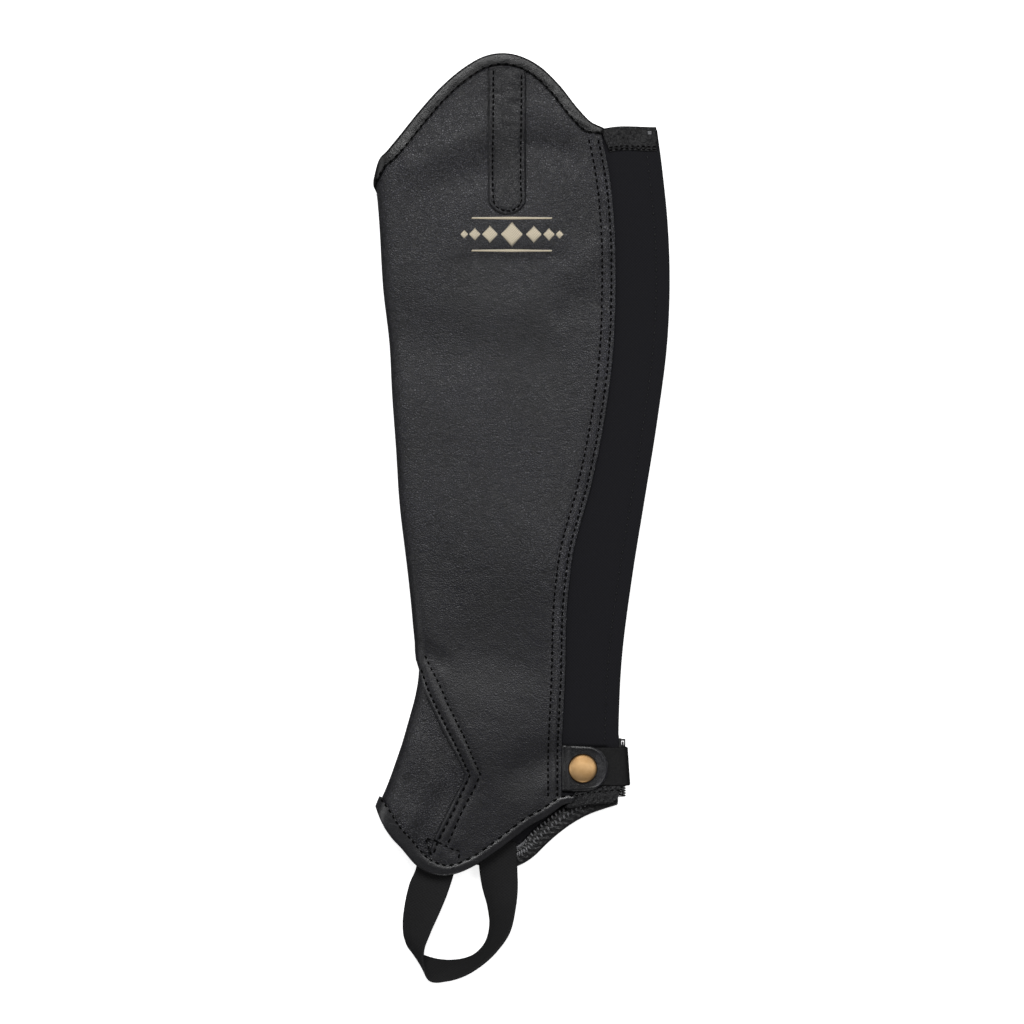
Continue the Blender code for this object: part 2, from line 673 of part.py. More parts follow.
def instep_piece(edges):
    """The leather over the instep, under the main panel at the pointed seam."""
    rows = np.linspace(0.0, 1.0, INSTEP_ROWS + 1)
    columns = np.linspace(0.0, 1.0, INSTEP_COLUMNS + 1)
    sides = []
    for side, name in ((-1.0, "far_bottom"), (1.0, "near_bottom")):
        seam = seam_line(side, edges[name])
        moved = seam + np.array([side * INSTEP_LAP, 0.0])
        moved[0, 1] = cut_at(edges[name], moved[0, 0])
        moved[:, 1] = moved[0, 1] + (moved[:, 1] - moved[1, 1]) * (INSTEP_TOP_Y - moved[0, 1]) / (
            moved[-1, 1] - moved[1, 1]
        )
        moved[0, 1] = cut_at(edges[name], moved[0, 0])
        sides.append(by_share(moved, 1, rows))
    far_edge = edges["far_bottom"][::-1]
    whole = np.concatenate([far_edge, edges["near_bottom"][1:]])
    bottom = part_of(whole, sides[0][0, 0], sides[1][0, 0])
    top = straight(sides[0][-1], sides[1][-1])
    grid = patch(sides[0], sides[1], bottom, top, columns, rows)
    near_seam = seam_line(1.0, edges["near_bottom"])
    far_seam = seam_line(-1.0, edges["far_bottom"])
    depth = np.zeros(grid.shape[:2])
    for i in range(grid.shape[0]):
        for j in range(grid.shape[1]):
            reach, y = grid[i, j]
            to_near = np.min(np.hypot(near_seam[:, 0] - reach, near_seam[:, 1] - y))
            to_far = np.min(np.hypot(far_seam[:, 0] - reach, far_seam[:, 1] - y))
            inside = np.interp(y, far_seam[:, 1], far_seam[:, 0]) < reach < np.interp(
                y, near_seam[:, 1], near_seam[:, 0]
            )
            apart = min(to_near, to_far) if inside and y < INSTEP_NOTCH_Y else 0.0
            depth[i, j] = INSTEP_DEPTH * (1.0 - ease((apart - INSTEP_HOLD) / INSTEP_SETTLE))
    points = at_depth(grid[..., 0], grid[..., 1], depth)
    return sheet("instep_piece", points, LEATHER, (BLACK_LEATHER, LEATHER_ROUGHNESS))


def elastic_edge(table):
    return dense_edge(table, 1.0)


def elastic_panel():
    """The stretch fabric from under the leather's back edge to the zip."""
    top = elastic_edge(ELASTIC_TOP_EDGE)
    bottom = elastic_edge(ELASTIC_BOTTOM_EDGE)
    rows = np.linspace(0.0, 1.0, ELASTIC_ROWS + 1)
    left_lap = ELASTIC_BOTTOM_EDGE[0][0] - table_curve(LEATHER_BACK_EDGE, ELASTIC_BOTTOM_EDGE[0][1])
    right = upright(back_x, bottom[-1, 1], top[-1, 1], 1.0)
    left_y = np.linspace(bottom[0, 1], top[0, 1], EDGE_SAMPLES)
    left_x = table_curve(LEATHER_BACK_EDGE, left_y) + left_lap
    left_x = left_x + (ELASTIC_TOP_EDGE[0][0] - left_x[-1]) * np.linspace(0.0, 1.0, EDGE_SAMPLES)
    left = np.stack([reach_of(left_x, left_y, 1.0), left_y], axis=-1)
    grid = patch(
        by_share(left, 1, rows), by_share(right, 1, rows), bottom, top, ELASTIC_COLUMN_SHARES, rows
    )
    points = at_depth(grid[..., 0], grid[..., 1], UNDER_LEATHER)
    return sheet("elastic_panel", points, ELASTIC, (BLACK_CLOTH, CLOTH_ROUGHNESS))


def elastic_hems():
    """Folded bands round the stretch panel's two ends."""
    finish = (BLACK_CLOTH, CLOTH_ROUGHNESS)
    depths = steady((UNDER_LEATHER, UNDER_LEATHER + ELASTIC))
    top = elastic_edge(ELASTIC_TOP_EDGE)
    start = float(reach_of(*HEM_TOP_FROM, 1.0))
    line = part_of(top, top[-1, 0], start)
    folded_strip(
        "elastic_top_hem", line, 1.0, steady(HEM_TOP_LEG), steady(HEM_INNER_LEG), depths, finish,
        HEM_SPACING,
    )
    bottom = elastic_edge(ELASTIC_BOTTOM_EDGE)
    start = float(reach_of(*HEM_BOTTOM_FROM, 1.0))
    line = part_of(bottom, start, bottom[-1, 0])
    folded_strip(
        "elastic_bottom_hem", line, 1.0, steady(HEM_BOTTOM_LEG), steady(HEM_INNER_LEG), depths, finish,
        HEM_SPACING,
    )


def narrowed_start(width):
    """A leg width that narrows towards the start of its strip only."""

    def leg(share, length, whole):
        return width * (LEG_END_SHARE + (1.0 - LEG_END_SHARE) * float(ease(length / LEG_END_RUN)))

    return leg


def bindings(edges):
    """Leather strips folded round the top edge and the bottom edge, and the woven band that goes on."""
    leather = (BLACK_LEATHER, LEATHER_ROUGHNESS)
    single = steady((0.0, LEATHER))
    far_top = edges["far_top"]
    top = np.concatenate([edges["near_top"][::-1], far_top[1:]])
    folded_strip(
        "top_binding", top, 1.0, steady(BINDING_OUTER_LEG), narrowed_start(BINDING_INNER_LEG), single,
        leather, TOP_BINDING_SPACING,
    )
    far_bottom = edges["far_bottom"]
    split = float(reach_of(*HEM_TAPE_FROM, -1.0))
    far_part = part_of(far_bottom, 0.0, split)
    bottom = np.concatenate([edges["near_bottom"][::-1], far_part[1:]])
    near_foot = seam_line(1.0, edges["near_bottom"])[0, 0] + INSTEP_LAP
    far_foot = seam_line(-1.0, far_bottom)[0, 0] - INSTEP_LAP
    points, _, along = spaced(bottom, EDGE_SPACING)

    def bottom_depths(share, length, whole):
        reach = float(np.interp(length, along, points[:, 0]))
        lapped = far_foot - LAP_MARGIN < reach < near_foot + LAP_MARGIN
        return (0.0, INSTEP_DEPTH + LEATHER) if lapped else (0.0, LEATHER)

    folded_strip(
        "bottom_binding", bottom, -1.0, steady(BINDING_OUTER_LEG), narrowed_start(BINDING_INNER_LEG),
        bottom_depths, leather, BOTTOM_BINDING_SPACING,
    )
    rest = part_of(far_bottom, split - HEM_TAPE_CLEAR, far_bottom[-1, 0])
    folded_strip(
        "inner_hem_tape", rest, -1.0, steady(TAPE_OUTER_LEG), steady(TAPE_INNER_LEG), single,
        (BLACK_NYLON, NYLON_ROUGHNESS), HEM_TAPE_SPACING,
    )


def calf_strip():
    """The strip from the peak down the calf, with a rounded end, on top of the leather."""
    middle = (CALF_STRIP_LEFT_X + CALF_STRIP_RIGHT_X) / 2.0
    half = (CALF_STRIP_RIGHT_X - CALF_STRIP_LEFT_X) / 2.0
    under_binding = BINDING_OUTER_LEG + CALF_STRIP_CLEAR
    columns = np.linspace(-1.0, 1.0, CALF_COLUMNS + 1)
    foot = CALF_STRIP_FOOT_Y + half * (1.0 - np.sqrt(1.0 - CALF_STRIP_ROUND * columns**2))
    x = middle + half * columns
    top = table_curve(NEAR_TOP_EDGE, x) - under_binding
    grid = []
    for share in np.linspace(0.0, 1.0, CALF_ROWS + 1):
        y = foot * (1.0 - share) + top * share
        depth = -SEAM_GAP - CALF_STRIP_THICKNESS
        grid.append(at_depth(reach_of(x, y, 1.0), y, depth))
    return sheet("calf_strip", np.array(grid), CALF_STRIP_THICKNESS, (BLACK_LEATHER, LEATHER_ROUGHNESS))


def zip_tapes():
    """The two woven tapes, sewn inside the stretch panel and inside the far wall."""
    finish = (BLACK_NYLON, NYLON_ROUGHNESS)
    for name, side, depth, foot, head in (
        ("zip_tape_near", 1.0, UNDER_ELASTIC, NEAR_TAPE_FOOT_Y, NEAR_TAPE_TOP_Y),
        ("zip_tape_far", -1.0, UNDER_LEATHER + FAR_TAPE_CLEAR, FAR_TAPE_FOOT_Y, FAR_TAPE_TOP_Y),
    ):
        grid = []
        for y in np.linspace(foot, head, ZIP_ROWS + 1):
            edge = back_x(y) - CHAIN_OUTER_INSET - CHAIN_DEPTH - SEAM_GAP
            x = edge - TAPE_WIDTH * np.linspace(1.0, 0.0, ZIP_TAPE_COLUMNS + 1)
            height = np.full(len(x), y)
            grid.append(at_depth(reach_of(x, height, side), height, depth))
        grid = np.array(grid)
        sheet(name, grid if side > 0.0 else grid[::-1], TAPE, finish)


def zip_chain():
    """The closed coil, standing on edge between the far wall and the stretch panel."""
    sections = []
    for y in np.linspace(CHAIN_FOOT_Y, CHAIN_TOP_Y, CHAIN_ROWS + 1):
        outer = float(back_x(y)) - CHAIN_OUTER_INSET
        inner = outer - CHAIN_DEPTH
        ring = []
        for x, side in ((inner, -1.0), (outer, -1.0), (outer, 1.0), (inner, 1.0)):
            depth = LEATHER + CHAIN_FAR_GAP if side < 0.0 else UNDER_ELASTIC
            ring.append(at_depth(reach_of(x, y, side), y, depth))
        sections.append(ring)
    return sweep("zip_chain", sections, (BLACK_NYLON, NYLON_ROUGHNESS))


def box(name, low, high, finish, collection=None):
    """A rectangular block between two corners in mm."""
    low = np.array(low)
    high = np.array(high)
    bpy.ops.mesh.primitive_cube_add(size=1.0, location=tuple((low + high) / 2.0 * METRES_PER_MM))
    made = bpy.context.object
    made.name = name
    made.scale = tuple((high - low) * METRES_PER_MM)
    bpy.ops.object.transform_apply(location=True, rotation=False, scale=True)
    for holder in list(made.users_collection):
        holder.objects.unlink(made)
    bpy.data.collections[collection or COLLECTION_NAME].objects.link(made)
    made.data.materials.append(material(name, *finish))
    if collection:
        made.hide_render = True
        made.display_type = "WIRE"
    return made


def combine(target, other, operation):
    join = target.modifiers.new(operation.title(), "BOOLEAN")
    join.operation = operation
    join.solver = "EXACT"
    join.object = other


def soften(obj, width, segments=2):
    edge = obj.modifiers.new("Edges", "BEVEL")
    edge.width = width * METRES_PER_MM
    edge.segments = segments
    edge.limit_method = "ANGLE"


def zip_slider():
    """The slider hugging the chain's foot, with an arch for the pull tab."""
    finish = (BLACK_ENAMEL, METAL_ROUGHNESS, 1.0)
    edge = float(back_x(SLIDER_Y))
    half_length = SLIDER_LENGTH / 2.0
    half_width = SLIDER_WIDTH / 2.0
    half_inner = SLIDER_INNER_WIDTH / 2.0
    plate_in = edge + SLIDER_OUT
    plate_out = plate_in + SLIDER_PLATE
    inner_out = edge - CHAIN_OUTER_INSET - CHAIN_DEPTH - SEAM_GAP
    foot = SLIDER_Y - half_length
    body = box(
        "zip_slider", (plate_in, foot, SLIDER_Z - half_width),
        (plate_out, SLIDER_Y + half_length, SLIDER_Z + half_width), finish,
    )
    inner_z = SLIDER_Z - SLIDER_LOWER
    pieces = [
        box(
            "slider_post", (inner_out - SLIDER_PLATE, foot, inner_z - half_inner),
            (plate_in + SLIDER_PLATE / 2.0, foot + SLIDER_POST, inner_z + half_inner), finish,
            CUTTER_COLLECTION_NAME,
        ),
        box(
            "slider_back", (inner_out - SLIDER_PLATE, foot, inner_z - half_inner),
            (inner_out, SLIDER_Y + half_length, inner_z + half_inner), finish, CUTTER_COLLECTION_NAME,
        ),
        box(
            "slider_arch", (plate_in + SLIDER_PLATE / 2.0, BAIL_FROM_Y, SLIDER_Z - BAIL_LEG / 2.0),
            (edge + BAIL_OUT, BAIL_TO_Y, SLIDER_Z + BAIL_LEG / 2.0), finish, CUTTER_COLLECTION_NAME,
        ),
    ]
    for piece in pieces:
        combine(body, piece, "UNION")
    hollow = box(
        "slider_arch_hollow", (plate_out + BAIL_CLEAR, BAIL_FROM_Y + BAIL_LEG, SLIDER_Z - BAIL_LEG),
        (edge + BAIL_OUT - BAIL_THICKNESS, BAIL_TO_Y - BAIL_LEG, SLIDER_Z + BAIL_LEG), finish,
        CUTTER_COLLECTION_NAME,
    )
    combine(body, hollow, "DIFFERENCE")
    soften(body, SLIDER_EDGE, 1)
    return body


def zip_pull():
    """The flat pull tab, hung on the arch's lower leg and lying under the snap strap."""
    finish = (BLACK_ENAMEL, METAL_ROUGHNESS, 1.0)
    edge = float(back_x(SLIDER_Y))
    inner = edge + PULL_IN
    outer = inner + PULL_THICKNESS
    half = PULL_WIDTH / 2.0
    tab = box("zip_pull", (inner, PULL_FOOT_Y, SLIDER_Z - half), (outer, PULL_TOP_Y, SLIDER_Z + half), finish)
    leg_middle = BAIL_FROM_Y + BAIL_LEG / 2.0
    eye = box(
        "pull_eye", (inner - PULL_EYE_OVER, leg_middle - PULL_EYE_HALF, SLIDER_Z - PULL_EYE_HALF),
        (outer + PULL_EYE_OVER, leg_middle + PULL_EYE_HALF, SLIDER_Z + PULL_EYE_HALF), finish,
        CUTTER_COLLECTION_NAME,
    )
    combine(tab, eye, "DIFFERENCE")
    soften(tab, PULL_EDGE)
    return tab


def tab_depth(x):
    """Depth of the snap tab's outer face: level with the leather at its root, then over the strap."""
    root = LEATHER - TAB_LEATHER
    over = UNDER_LEATHER - SEAM_GAP - STRAP_LEATHER - SEAM_GAP - TAB_LEATHER
    return root + (over - root) * ease((x - TAB_RISE_FROM_X) / (TAB_RISE_TO_X - TAB_RISE_FROM_X))


def snap_tab():
    """The leather tab that carries the snap cap, with a rounded end."""
    grid = []
    round_from = TAB_TIP_X - TAB_ROUND
    straight_x = np.linspace(TAB_LEFT_X, round_from, TAB_STRAIGHT_STEPS + 1)
    turn = np.linspace(0.0, math.pi / 2, TAB_ROUND_STEPS + 1)[1:]
    round_x = TAB_TIP_X - TAB_ROUND * (1.0 - np.sin(turn))
    for x in np.concatenate([straight_x, round_x]):
        share = (x - TAB_LEFT_X) / (TAB_TIP_X - TAB_LEFT_X)
        half = TAB_HALF_ROOT + (TAB_HALF_END - TAB_HALF_ROOT) * share
        into = max(0.0, (x - round_from) / TAB_ROUND)
        half = half * (1.0 - TAB_TIP_NARROWER * into * into)
        y = TAB_CENTRE_Y + half * np.linspace(-1.0, 1.0, TAB_ROWS + 1)
        across = np.full(len(y), x)
        grid.append(at_depth(reach_of(across, y, 1.0), y, tab_depth(across)))
    grid = np.transpose(np.array(grid), (1, 0, 2))
    return sheet("snap_tab", grid, TAB_LEATHER, (BLACK_LEATHER, LEATHER_ROUGHNESS))


def strap_section(y):
    """Outer points of the snap strap at one height: over the panel, round the zip, under the far wall."""
    edge = float(back_x(y))
    share = (y - STRAP_FOOT_Y) / (STRAP_TOP_Y - STRAP_FOOT_Y)
    out = STRAP_OUT_FOOT + (STRAP_OUT_TOP - STRAP_OUT_FOOT) * share
    depth = UNDER_LEATHER - SEAM_GAP - STRAP_LEATHER
    turn_from = edge + STRAP_TURN_CLEAR
    top = []
    for x in np.linspace(STRAP_LEFT_X, turn_from, STRAP_TOP_STEPS + 1):
        top.append(at_depth(reach_of(x, y, 1.0), y, depth))
    high = top[-1][2]
    half = high / 2.0
    ring = []
    for angle in np.linspace(math.pi / 2, -math.pi / 2, STRAP_TURN_STEPS + 1)[1:-1]:
        c = math.cos(angle) ** STRAP_TURN_POWER
        s = math.copysign(abs(math.sin(angle)) ** STRAP_TURN_POWER, math.sin(angle))
        ring.append(np.array([turn_from + (out - STRAP_TURN_CLEAR) * c, y, half + half * s]))
    under_x = np.linspace(turn_from, edge - STRAP_UNDER, STRAP_UNDER_STEPS + 1)
    under = [np.array([x, y, 0.0]) for x in under_x]
    return np.array(top + ring + under)


def snap_strap():
    """The strap sewn under the far wall, carried round the slider to under the snap tab."""
    sections = [strap_section(y) for y in np.linspace(STRAP_FOOT_Y, STRAP_TOP_Y, STRAP_ROWS + 1)]
    return sheet("snap_strap", np.array(sections), STRAP_LEATHER, (BLACK_LEATHER, LEATHER_ROUGHNESS))


def snap_cap():
    """The domed cap, turned about its own axis, resting on the snap tab."""
    reach = reach_of(CAP_X, CAP_Y, 1.0)
    base = at_depth(reach, CAP_Y, tab_depth(CAP_X) - SEAM_GAP)
    points = [(share * CAP_RADIUS, 0.0, height) for share, height in CAP_OUTLINE]
    made = new_object("snap_cap", points, [], (BRASS, METAL_ROUGHNESS, 1.0))
    shape = bmesh.new()
    shape.from_mesh(made.data)
    shape.verts.ensure_lookup_table()
    for i in range(len(points) - 1):
        shape.edges.new((shape.verts[i], shape.verts[i + 1]))
    shape.to_mesh(made.data)
    shape.free()
    turn = made.modifiers.new("Turning", "SCREW")
    turn.steps = CAP_STEPS
    turn.render_steps = CAP_STEPS
    turn.use_merge_vertices = True
    turn.merge_threshold = 0.00001
    normal = Vector(outward(reach, np.asarray(CAP_Y)).tolist())
    made.rotation_mode = "QUATERNION"
    made.rotation_quaternion = Vector((0.0, 0.0, 1.0)).rotation_difference(normal)
    made.location = tuple(float(c) * METRES_PER_MM for c in base)
    return made


def stirrup_strap():
    """The woven band under the foot, a ruled band between its two edge lines."""
    table = np.array(STIRRUP_SECTIONS)
    chord = np.linalg.norm(np.diff((table[:, :3] + table[:, 3:]) / 2.0, axis=0), axis=1)
    chord = np.concatenate([[0.0], np.cumsum(chord)])
    wanted = np.linspace(0.0, chord[-1], STIRRUP_ROWS + 1)
    smooth = np.stack([curve_through(chord, table[:, k], wanted) for k in range(6)], axis=-1)
    grid = []
    for row in smooth:
        shares = np.linspace(0.0, 1.0, STIRRUP_COLUMNS + 1)[:, None]
        grid.append(row[:3] * (1.0 - shares) + row[3:] * shares)
    return sheet("stirrup_strap", np.array(grid), WEBBING, (BLACK_NYLON, NYLON_ROUGHNESS), 0.0)


def settle_on_floor():
    """Moves every object so that the whole box stands centred on the origin, on the floor."""
    bpy.context.view_layer.update()
    graph = bpy.context.evaluated_depsgraph_get()
    low = np.full(3, np.inf)
    high = np.full(3, -np.inf)
    for obj in bpy.data.collections[COLLECTION_NAME].objects:
        seen = obj.evaluated_get(graph)
        mesh = seen.to_mesh()
        for vertex in mesh.vertices:
            place = np.array(seen.matrix_world @ vertex.co)
            low = np.minimum(low, place)
            high = np.maximum(high, place)
        seen.to_mesh_clear()
    shift = Vector((-(low[0] + high[0]) / 2.0, -(low[1] + high[1]) / 2.0, -low[2]))
    for name in (COLLECTION_NAME, CUTTER_COLLECTION_NAME):
        for obj in bpy.data.collections[name].objects:
            obj.location = obj.location + shift


def main():
    for obj in list(bpy.data.objects):
        bpy.data.objects.remove(obj, do_unlink=True)
    new_collection(COLLECTION_NAME)
    new_collection(CUTTER_COLLECTION_NAME).hide_render = True
    edges = edge_lines()
    main_panel(edges)
    instep_piece(edges)
    elastic_panel()
    elastic_hems()
    bindings(edges)
    calf_strip()
    zip_tapes()
    zip_chain()
    zip_slider()
    zip_pull()
    snap_tab()
    snap_strap()
    snap_cap()
    stirrup_strap()
    settle_on_floor()


main()
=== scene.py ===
"""Dresses the half chap: leather, stretch cloth, bindings, zip, snap, stirrup strap, thread and motif.

Plan sizes are in mm: x across the leg from the shin fold to the zip, y up the leg, z up from the
floor. A place on the leather is (reach, y): reach is the length along the leather from the shin
fold, positive on the near wall and negative on the far wall, which lies on the floor.
"""

import logging
import math
from dataclasses import dataclass, replace
from enum import Enum
from typing import Any, Callable, Sequence

import bpy
import numpy as np
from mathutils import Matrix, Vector


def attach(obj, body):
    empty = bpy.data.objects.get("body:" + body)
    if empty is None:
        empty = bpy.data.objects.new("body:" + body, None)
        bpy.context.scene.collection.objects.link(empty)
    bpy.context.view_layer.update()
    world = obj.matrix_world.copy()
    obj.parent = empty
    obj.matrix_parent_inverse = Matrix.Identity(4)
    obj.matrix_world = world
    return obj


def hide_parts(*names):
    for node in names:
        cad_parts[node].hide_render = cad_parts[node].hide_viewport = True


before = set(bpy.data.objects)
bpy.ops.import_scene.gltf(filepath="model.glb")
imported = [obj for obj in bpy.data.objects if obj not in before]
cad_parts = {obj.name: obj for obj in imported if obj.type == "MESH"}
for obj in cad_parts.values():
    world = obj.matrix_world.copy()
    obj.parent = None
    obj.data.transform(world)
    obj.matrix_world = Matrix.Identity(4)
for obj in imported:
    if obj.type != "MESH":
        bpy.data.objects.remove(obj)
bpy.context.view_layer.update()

LOG = logging.getLogger("half_chap")
Array = np.ndarray
Table = tuple[tuple[float, ...], ...]
Piece = bpy.types.Object
Tree = bpy.types.NodeTree

MM = 0.001
# Texture scales are in waves per metre
PER_METRE = 1000.0
TINY = 1e-9
QUARTER = math.pi / 2
# The solids stand centred on the origin: from plan mm to the frame's mm
PLACE = np.array([-0.190, -0.155, 0.0])
LEG_BODY = "half_chap"
# The two pieces that others rest on
PANEL = "main_panel_leather"
STRETCH_CLOTH = "stretch_panel_cloth"
# Attribute with each point's place on the flat cut, mm; on leather its third number is looseness with
# painted light, on brass it is painted shade
CUT = "cut_mm"

# Thicknesses, mm
LEATHER = 1.6
ELASTIC = 1.4
STRIP = 1.0
TAPE = 1.0
WEBBING = 1.4
STRAP = 1.2
TAB = 1.4
# Air between neighbours, and inside the fold of a strip, mm
GAP = 0.3
FOLD_GAP = 0.46
# Depths below the leather's outer face, mm
UNDER_LEATHER = LEATHER + GAP
UNDER_ELASTIC = UNDER_LEATHER + ELASTIC + GAP


class Side(Enum):
    """Which wall of the flat leg a piece is on."""

    NEAR = 1.0
    FAR = -1.0


class Held(Enum):
    """How a cloth keeps its shape."""

    LAID = "laid"
    FOLDED = "folded"


class Slot(Enum):
    """The record's material slots."""

    LEATHER = "leather"
    BINDING = "binding_leather"
    STRETCH = "stretch_fabric"
    TAPE = "woven_tape"
    WEBBING = "webbing"
    COIL = "zip_coil"
    BRASS = "brass_cap"


# Curves and shapes in plain arrays


def ease(share: Any) -> Any:
    """Rises from 0 to 1 with level ends."""
    held = np.clip(share, 0.0, 1.0)
    return held * held * (3.0 - 2.0 * held)


def bump(value: Any, middle: float, width: float) -> Any:
    """A soft hill, 1 at the middle."""
    return np.exp(-(((value - middle) / width) ** 2))


def curve_through(keys: Any, values: Any, at: Any) -> Array:
    """A smooth curve through a table's rows, held straight beyond its ends.

    Args:
        keys: Where each row stands, rising.
        values: What each row says.
        at: Where the curve is read.

    Returns:
        The curve's value at each place.
    """
    keys, values, at = (np.asarray(v, float) for v in (keys, values, at))
    steps = np.diff(keys)
    slopes = np.diff(values) / steps
    inner = (slopes[:-1] * steps[1:] + slopes[1:] * steps[:-1]) / (steps[:-1] + steps[1:])
    tangents = np.concatenate([slopes[:1], inner, slopes[-1:]])
    held = np.clip(at, keys[0], keys[-1])
    i = np.clip(np.searchsorted(keys, held, side="right") - 1, 0, len(steps) - 1)
    t = (held - keys[i]) / steps[i]
    rise = ease(t)
    value = values[i] * (1.0 - rise) + values[i + 1] * rise
    value = value + steps[i] * t * (1.0 - t) * (tangents[i] * (1.0 - t) - tangents[i + 1] * t)
    value = value + np.minimum(at - keys[0], 0.0) * tangents[0]
    return value + np.maximum(at - keys[-1], 0.0) * tangents[-1]


def read(table: Table, at: Any) -> Array:
    """A two-column table as a smooth curve of its first column."""
    return curve_through(*np.array(table).T, at)


def joined(*parts: Any) -> Array:
    """Coordinates, spread to one shape, as the last axis of one array."""
    return np.stack(np.broadcast_arrays(*parts), axis=-1)


def unit(vectors: Array) -> Array:
    """The vectors at length 1."""
    return vectors / np.maximum(np.linalg.norm(vectors, axis=-1, keepdims=True), TINY)


def half_turn(steps: int, power: float) -> tuple[Array, Array]:
    """A half turn from top to bottom.

    Args:
        steps: Points with both ends, which are left out.
        power: Fuller than a circle below 1.

    Returns:
        Across and up at each point.
    """
    turn = np.linspace(QUARTER, -QUARTER, steps)[1:-1]
    up = np.sin(turn)
    return np.cos(turn) ** power, np.sign(up) * np.abs(up) ** power


def lengths_along(line: Array) -> Array:
    """Length from a line's start to each of its points."""
    return np.concatenate([[0.0], np.cumsum(np.linalg.norm(np.diff(line, axis=0), axis=-1))])


def resampled(line: Array, spacing: float) -> tuple[Array, Array, Array]:
    """Even points along a line in (reach, y).

    Args:
        line: The line's points.
        spacing: Wanted distance between points, mm.

    Returns:
        The points, their unit tangents and their lengths along the line.
    """
    lengths = lengths_along(line)
    wanted = np.linspace(0.0, lengths[-1], max(2, int(round(lengths[-1] / spacing)) + 1))

    def at(places: Array) -> Array:
        """The line's points at these lengths."""
        return joined(*(np.interp(places, lengths, line[:, k]) for k in (0, 1)))

    # A tangent is taken over 2 mm
    run = at(np.minimum(wanted + 1.0, lengths[-1])) - at(np.maximum(wanted - 1.0, 0.0))
    return at(wanted), unit(run), wanted


def distance_to(points: Array, line: Array) -> Array:
    """Distance of each point from a line of straight runs.

    Args:
        points: Points (n, 2).
        line: The line's points (m, 2).

    Returns:
        The n distances.
    """
    runs = np.diff(line, axis=0)
    squares = np.maximum((runs**2).sum(axis=1), TINY)
    nearest = np.full(len(points), np.inf)
    for start, run, square in zip(line[:-1], runs, squares):
        gap = points - start
        share = np.clip(gap @ run / square, 0.0, 1.0)
        nearest = np.minimum(nearest, np.hypot(*(gap - share[:, None] * run).T))
    return nearest


def by_share(line: Array, axis: int, shares: Array) -> Array:
    """Points of a line at shares of its way along one axis.

    Args:
        line: The line's points (n, 2).
        axis: The axis, 0 or 1.
        shares: Shares from 0 to 1.

    Returns:
        The points.
    """
    key = line[:, axis]
    wanted = key[0] + (key[-1] - key[0]) * np.asarray(shares)
    order = np.argsort(key)
    found = np.interp(wanted, key[order], line[order, 1 - axis])
    return joined(*((wanted, found) if axis == 0 else (found, wanted)))


def graded(width: float, first: Sequence[float], last: Sequence[float], step: float) -> Array:
    """Shares across a width, close together at both ends.

    Args:
        width: The whole width, mm.
        first: Distances from the start, mm, rising from 0.
        last: Distances from the end, mm, rising from 0.
        step: Spacing between the two, mm.

    Returns:
        Shares from 0 to 1.
    """
    low = np.array(first)
    high = width - np.array(last)[::-1]
    count = max(1, int(round((high[0] - low[-1]) / step)))
    middle = np.linspace(low[-1], high[0], count + 1)[1:-1]
    return np.concatenate([low, middle, high]) / width


def filled(left: Array, right: Array, bottom: Array, top: Array, columns: Array) -> Array:
    """A grid in (reach, y) filled between four edge lines.

    Args:
        left: A point of the left edge for each row.
        right: A point of the right edge for each row.
        bottom: The bottom edge as a dense line.
        top: The top edge as a dense line.
        columns: Shares of the way across.

    Returns:
        Points (rows, columns, 2).
    """
    low = by_share(bottom, 0, columns)[None]
    high = by_share(top, 0, columns)[None]
    u = np.asarray(columns)[None, :, None]
    v = ((right[:, 1] - right[0, 1]) / (right[-1, 1] - right[0, 1]))[:, None, None]
    edge = (1 - u) * left[:, None] + u * right[:, None]
    return edge + (1 - v) * (low - edge[:1]) + v * (high - edge[-1:])


def grid_faces(rows: int, columns: int) -> Array:
    """The quads of a grid of points given row by row."""
    a = (np.arange(rows - 1)[:, None] * columns + np.arange(columns - 1)[None]).ravel()
    return joined(a, a + 1, a + 1 + columns, a + columns)


def waves(seed: int, count: int, shortest: float, longest: float) -> Callable[[Array], Array]:
    """A smooth uneven field over the plane, about -1 to 1.

    Args:
        seed: Seed of the draw.
        count: How many waves are summed.
        shortest: Shortest wavelength, mm.
        longest: Longest wavelength, mm.

    Returns:
        A function of points (..., 2).
    """
    draw = np.random.default_rng(seed)
    turns = draw.uniform(0.0, math.tau, count)
    starts = draw.uniform(0.0, math.tau, count)
    numbers = math.tau / draw.uniform(shortest, longest, count)
    directions = joined(np.cos(turns), np.sin(turns)) * numbers[:, None]

    def field_at(points: Array) -> Array:
        """The field at points (..., 2)."""
        return np.sin(points @ directions.T + starts).sum(axis=-1) / math.sqrt(count * 2.0)

    return field_at


# Finishes

# The Mix node's colours go by number: its two inputs and its output
MIX_A, MIX_B, MIX_OUT = 6, 7, 2


def linear(colour: str) -> tuple[float, float, float, float]:
    """Linear RGBA from an sRGB hex value."""
    parts = [int(colour[i : i + 2], 16) / 255.0 for i in (1, 3, 5)]
    return (*(c / 12.92 if c <= 0.04045 else ((c + 0.055) / 1.055) ** 2.4 for c in parts), 1.0)


def feed(tree: Tree, node: bpy.types.Node, inputs: dict[Any, Any]) -> None:
    """Gives the inputs of a node what feeds them.

    Args:
        tree: The node tree.
        node: The node.
        inputs: Another node's output, or a plain value, for each input.
    """
    for name, value in inputs.items():
        if isinstance(value, bpy.types.NodeSocket):
            tree.links.new(value, node.inputs[name])
        else:
            node.inputs[name].default_value = value


